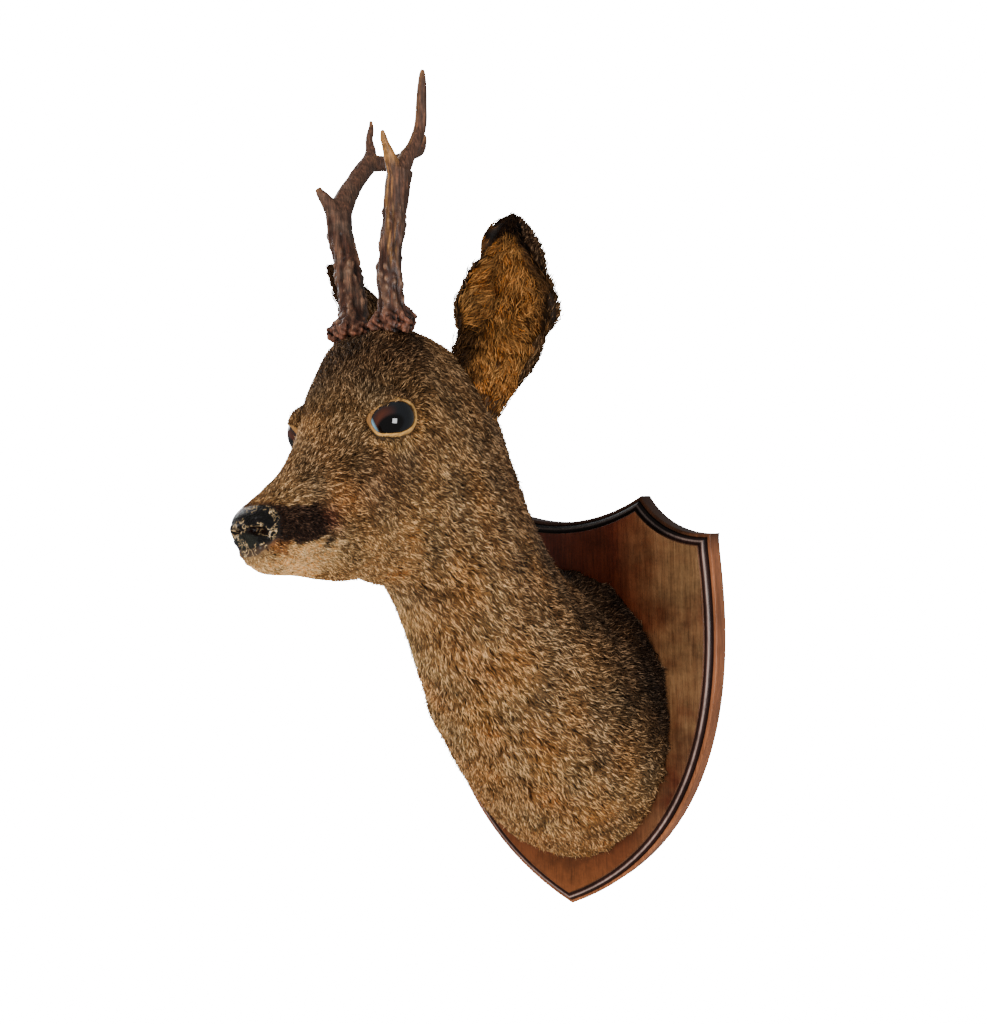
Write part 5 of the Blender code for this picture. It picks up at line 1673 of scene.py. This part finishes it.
class DEER_OT_shield(bpy.types.Operator):
    """Wooden wall shield: its outline, then a moulded edge drawn in step by step"""
    bl_idname = "deer.shield"
    bl_label = "Shield"

    def execute(self, context):
        outline = shield_outline(0.0)
        select_none()
        bpy.ops.mesh.primitive_circle_add(vertices=len(outline), radius=0.1, fill_type="NGON")
        shield = context.object
        shield.name = "wall_shield"
        shield.data.name = "wall_shield"
        bpy.ops.object.mode_set(mode="EDIT")
        bpy.ops.mesh.select_mode(type="FACE")
        bpy.ops.mesh.select_all(action="SELECT")
        mesh = bmesh.from_edit_mesh(shield.data)
        order = mesh.verts.layers.int.new("order")
        mesh.verts.layers.float.new("inward")
        for number, vertex in enumerate(mesh.verts):
            vertex[order] = number
        self.set_ring(shield, outline, 0.0, FINE_MOULDING[0][1])
        for inward, forward in FINE_MOULDING[1:]:
            bpy.ops.mesh.extrude_region_move(TRANSFORM_OT_translate={"value": (0.0, -0.0001, 0.0)})
            self.set_ring(shield, shield_outline(inward), inward, forward)
        bpy.ops.mesh.select_all(action="SELECT")
        bpy.ops.mesh.normals_make_consistent(inside=False)
        bpy.ops.object.mode_set(mode="OBJECT")
        self.close_back(shield)
        bpy.ops.object.shade_smooth_by_angle(angle=math.radians(28))
        wear(shield, wood_material())
        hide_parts("shield")
        return {"FINISHED"}

    @staticmethod
    def set_ring(shield, outline, inward, forward):
        """Put the selected ring of the shield on its outline."""
        mesh = bmesh.from_edit_mesh(shield.data)
        order = mesh.verts.layers.int["order"]
        depth = mesh.verts.layers.float["inward"]
        for vertex in mesh.verts:
            if vertex.select:
                x, z = outline[vertex[order]]
                vertex.co = (x, -forward, z)
                vertex[depth] = inward
        bmesh.update_edit_mesh(shield.data)

    @staticmethod
    def close_back(shield):
        mesh = bmesh.new()
        mesh.from_mesh(shield.data)
        rim = [edge for edge in mesh.edges if len(edge.link_faces) == 1]
        if rim:
            bmesh.ops.holes_fill(mesh, edges=rim)
        bmesh.ops.recalc_face_normals(mesh, faces=mesh.faces)
        mesh.to_mesh(shield.data)
        mesh.free()


# Stage
FLOOR_RADIUS = 1.9
FLOOR_HEIGHT = -1.2
AMBIENT = 0.80
MIRRORED_CHANGE = -0.58           # added to the ambient light in reflections
BACKDROP = 20.0                   # added where the camera sees the surroundings
CAMERA_PLACE = (0.5048, -0.9485, 0.1736)
CAMERA_FORWARD = (-0.5263, 0.8503, -0.0053)
CAMERA_RIGHT = (0.8500, 0.5260, -0.0277)

# Lights: name, place, what it points at, size, share of the key power, seen in reflections
LIGHTS = (
    ("key", (-0.05, -1.60, 0.85), (0.0, -0.25, 0.15), 1.4, 1.16, False),
    ("low", (0.19, -1.38, -0.26), (0.03, -0.30, 0.22), 0.20, 0.36, False),
    ("side", (1.60, -0.75, 0.35), (0.0, -0.15, 0.05), 1.2, 0.50, False),
    ("glint", (1.08, -0.825, -0.115), (0.05, -0.32, 0.23), 0.42, 0.45, True),
    ("rear", (-1.30, 0.20, 0.90), (0.0, -0.25, 0.15), 0.9, 0.35, True),
)


class DEER_OT_stage(bpy.types.Operator):
    """Pale floor, soft studio lights and the camera"""
    bl_idname = "deer.stage"
    bl_label = "Stage"

    def execute(self, context):
        settings = context.scene.deer
        self.lay_floor(context, settings)
        self.light_backdrop(context)
        for name, place, target, size, share, mirrored in LIGHTS:
            light = bpy.data.lights.new(name, "AREA")
            light.shape = "SQUARE"
            light.size = size
            light.energy = settings.key_power * share
            lamp = bpy.data.objects.new(name, light)
            lamp.location = place
            lamp.visible_glossy = mirrored
            lamp.visible_diffuse = name != "glint"
            aim = Vector(target) - Vector(place)
            lamp.rotation_euler = aim.to_track_quat("-Z", "Y").to_euler()
            context.scene.collection.objects.link(lamp)
        self.set_camera(context, settings)
        return {"FINISHED"}

    @staticmethod
    def lay_floor(context, settings):
        select_none()
        bpy.ops.mesh.primitive_circle_add(
            vertices=96, radius=FLOOR_RADIUS, fill_type="NGON", location=(0, 0, FLOOR_HEIGHT))
        floor = context.object
        floor.name = "floor"
        bpy.ops.object.transform_apply(location=True)
        floor.data.materials.append(Look.named("pale_floor").finish(settings.floor_colour, 0.9))
        floor.visible_glossy = False

    @staticmethod
    def light_backdrop(context):
        """White surroundings: bright behind the object, dimmer in its reflections."""
        if context.scene.world is None:
            context.scene.world = bpy.data.worlds.new("studio")
        world = context.scene.world
        world.use_nodes = True
        look = Look(world.node_tree)
        rays = look.add("LightPath", 0, {}).node.outputs
        mirrored = look.reckon("MULTIPLY_ADD", rays["Is Glossy Ray"], MIRRORED_CHANGE, AMBIENT)
        backdrop = look.reckon("MULTIPLY_ADD", rays["Is Camera Ray"], BACKDROP, mirrored)
        background = world.node_tree.nodes["Background"]
        look.feed(background.inputs["Color"], (1.0, 1.0, 1.0))
        look.feed(background.inputs["Strength"], backdrop)

    @staticmethod
    def set_camera(context, settings):
        camera = bpy.data.cameras.new("camera")
        camera.sensor_fit = "VERTICAL"
        camera.sensor_height = 36.0
        camera.lens = settings.lens
        camera.clip_start = 0.01
        viewer = bpy.data.objects.new("camera", camera)
        forward = Vector(CAMERA_FORWARD).normalized()
        right = Vector(CAMERA_RIGHT)
        right = (right - forward * right.dot(forward)).normalized()
        turn = Matrix((right, right.cross(forward), -forward)).transposed()
        viewer.matrix_world = Matrix.Translation(CAMERA_PLACE) @ turn.to_4x4()
        context.scene.collection.objects.link(viewer)
        context.scene.camera = viewer


class DEER_PT_panel(bpy.types.Panel):
    bl_idname = "DEER_PT_panel"
    bl_label = "Roe deer mount"
    bl_space_type = "VIEW_3D"
    bl_region_type = "UI"
    bl_category = "Deer"

    def draw(self, context):
        settings = context.scene.deer
        for name in DeerSettings.__annotations__:
            self.layout.prop(settings, name)
        for operator in OPERATORS:
            self.layout.operator(operator.bl_idname)


OPERATORS = (
    DEER_OT_shield, DEER_OT_skin, DEER_OT_coat, DEER_OT_ear_coat, DEER_OT_eyes, DEER_OT_antlers,
    DEER_OT_stage,
)
CLASSES = (DeerSettings, *OPERATORS, DEER_PT_panel)


def register():
    for item in CLASSES:
        bpy.utils.register_class(item)
    bpy.types.Scene.deer = bpy.props.PointerProperty(type=DeerSettings)


def unregister():
    del bpy.types.Scene.deer
    for item in reversed(CLASSES):
        bpy.utils.unregister_class(item)


def main():
    register()
    bpy.ops.deer.shield()
    bpy.ops.deer.skin()
    bpy.ops.deer.coat()
    bpy.ops.deer.ear_coat()
    bpy.ops.deer.eyes()
    bpy.ops.deer.antlers()
    bpy.ops.deer.stage()


if __name__ == "__main__":
    main()
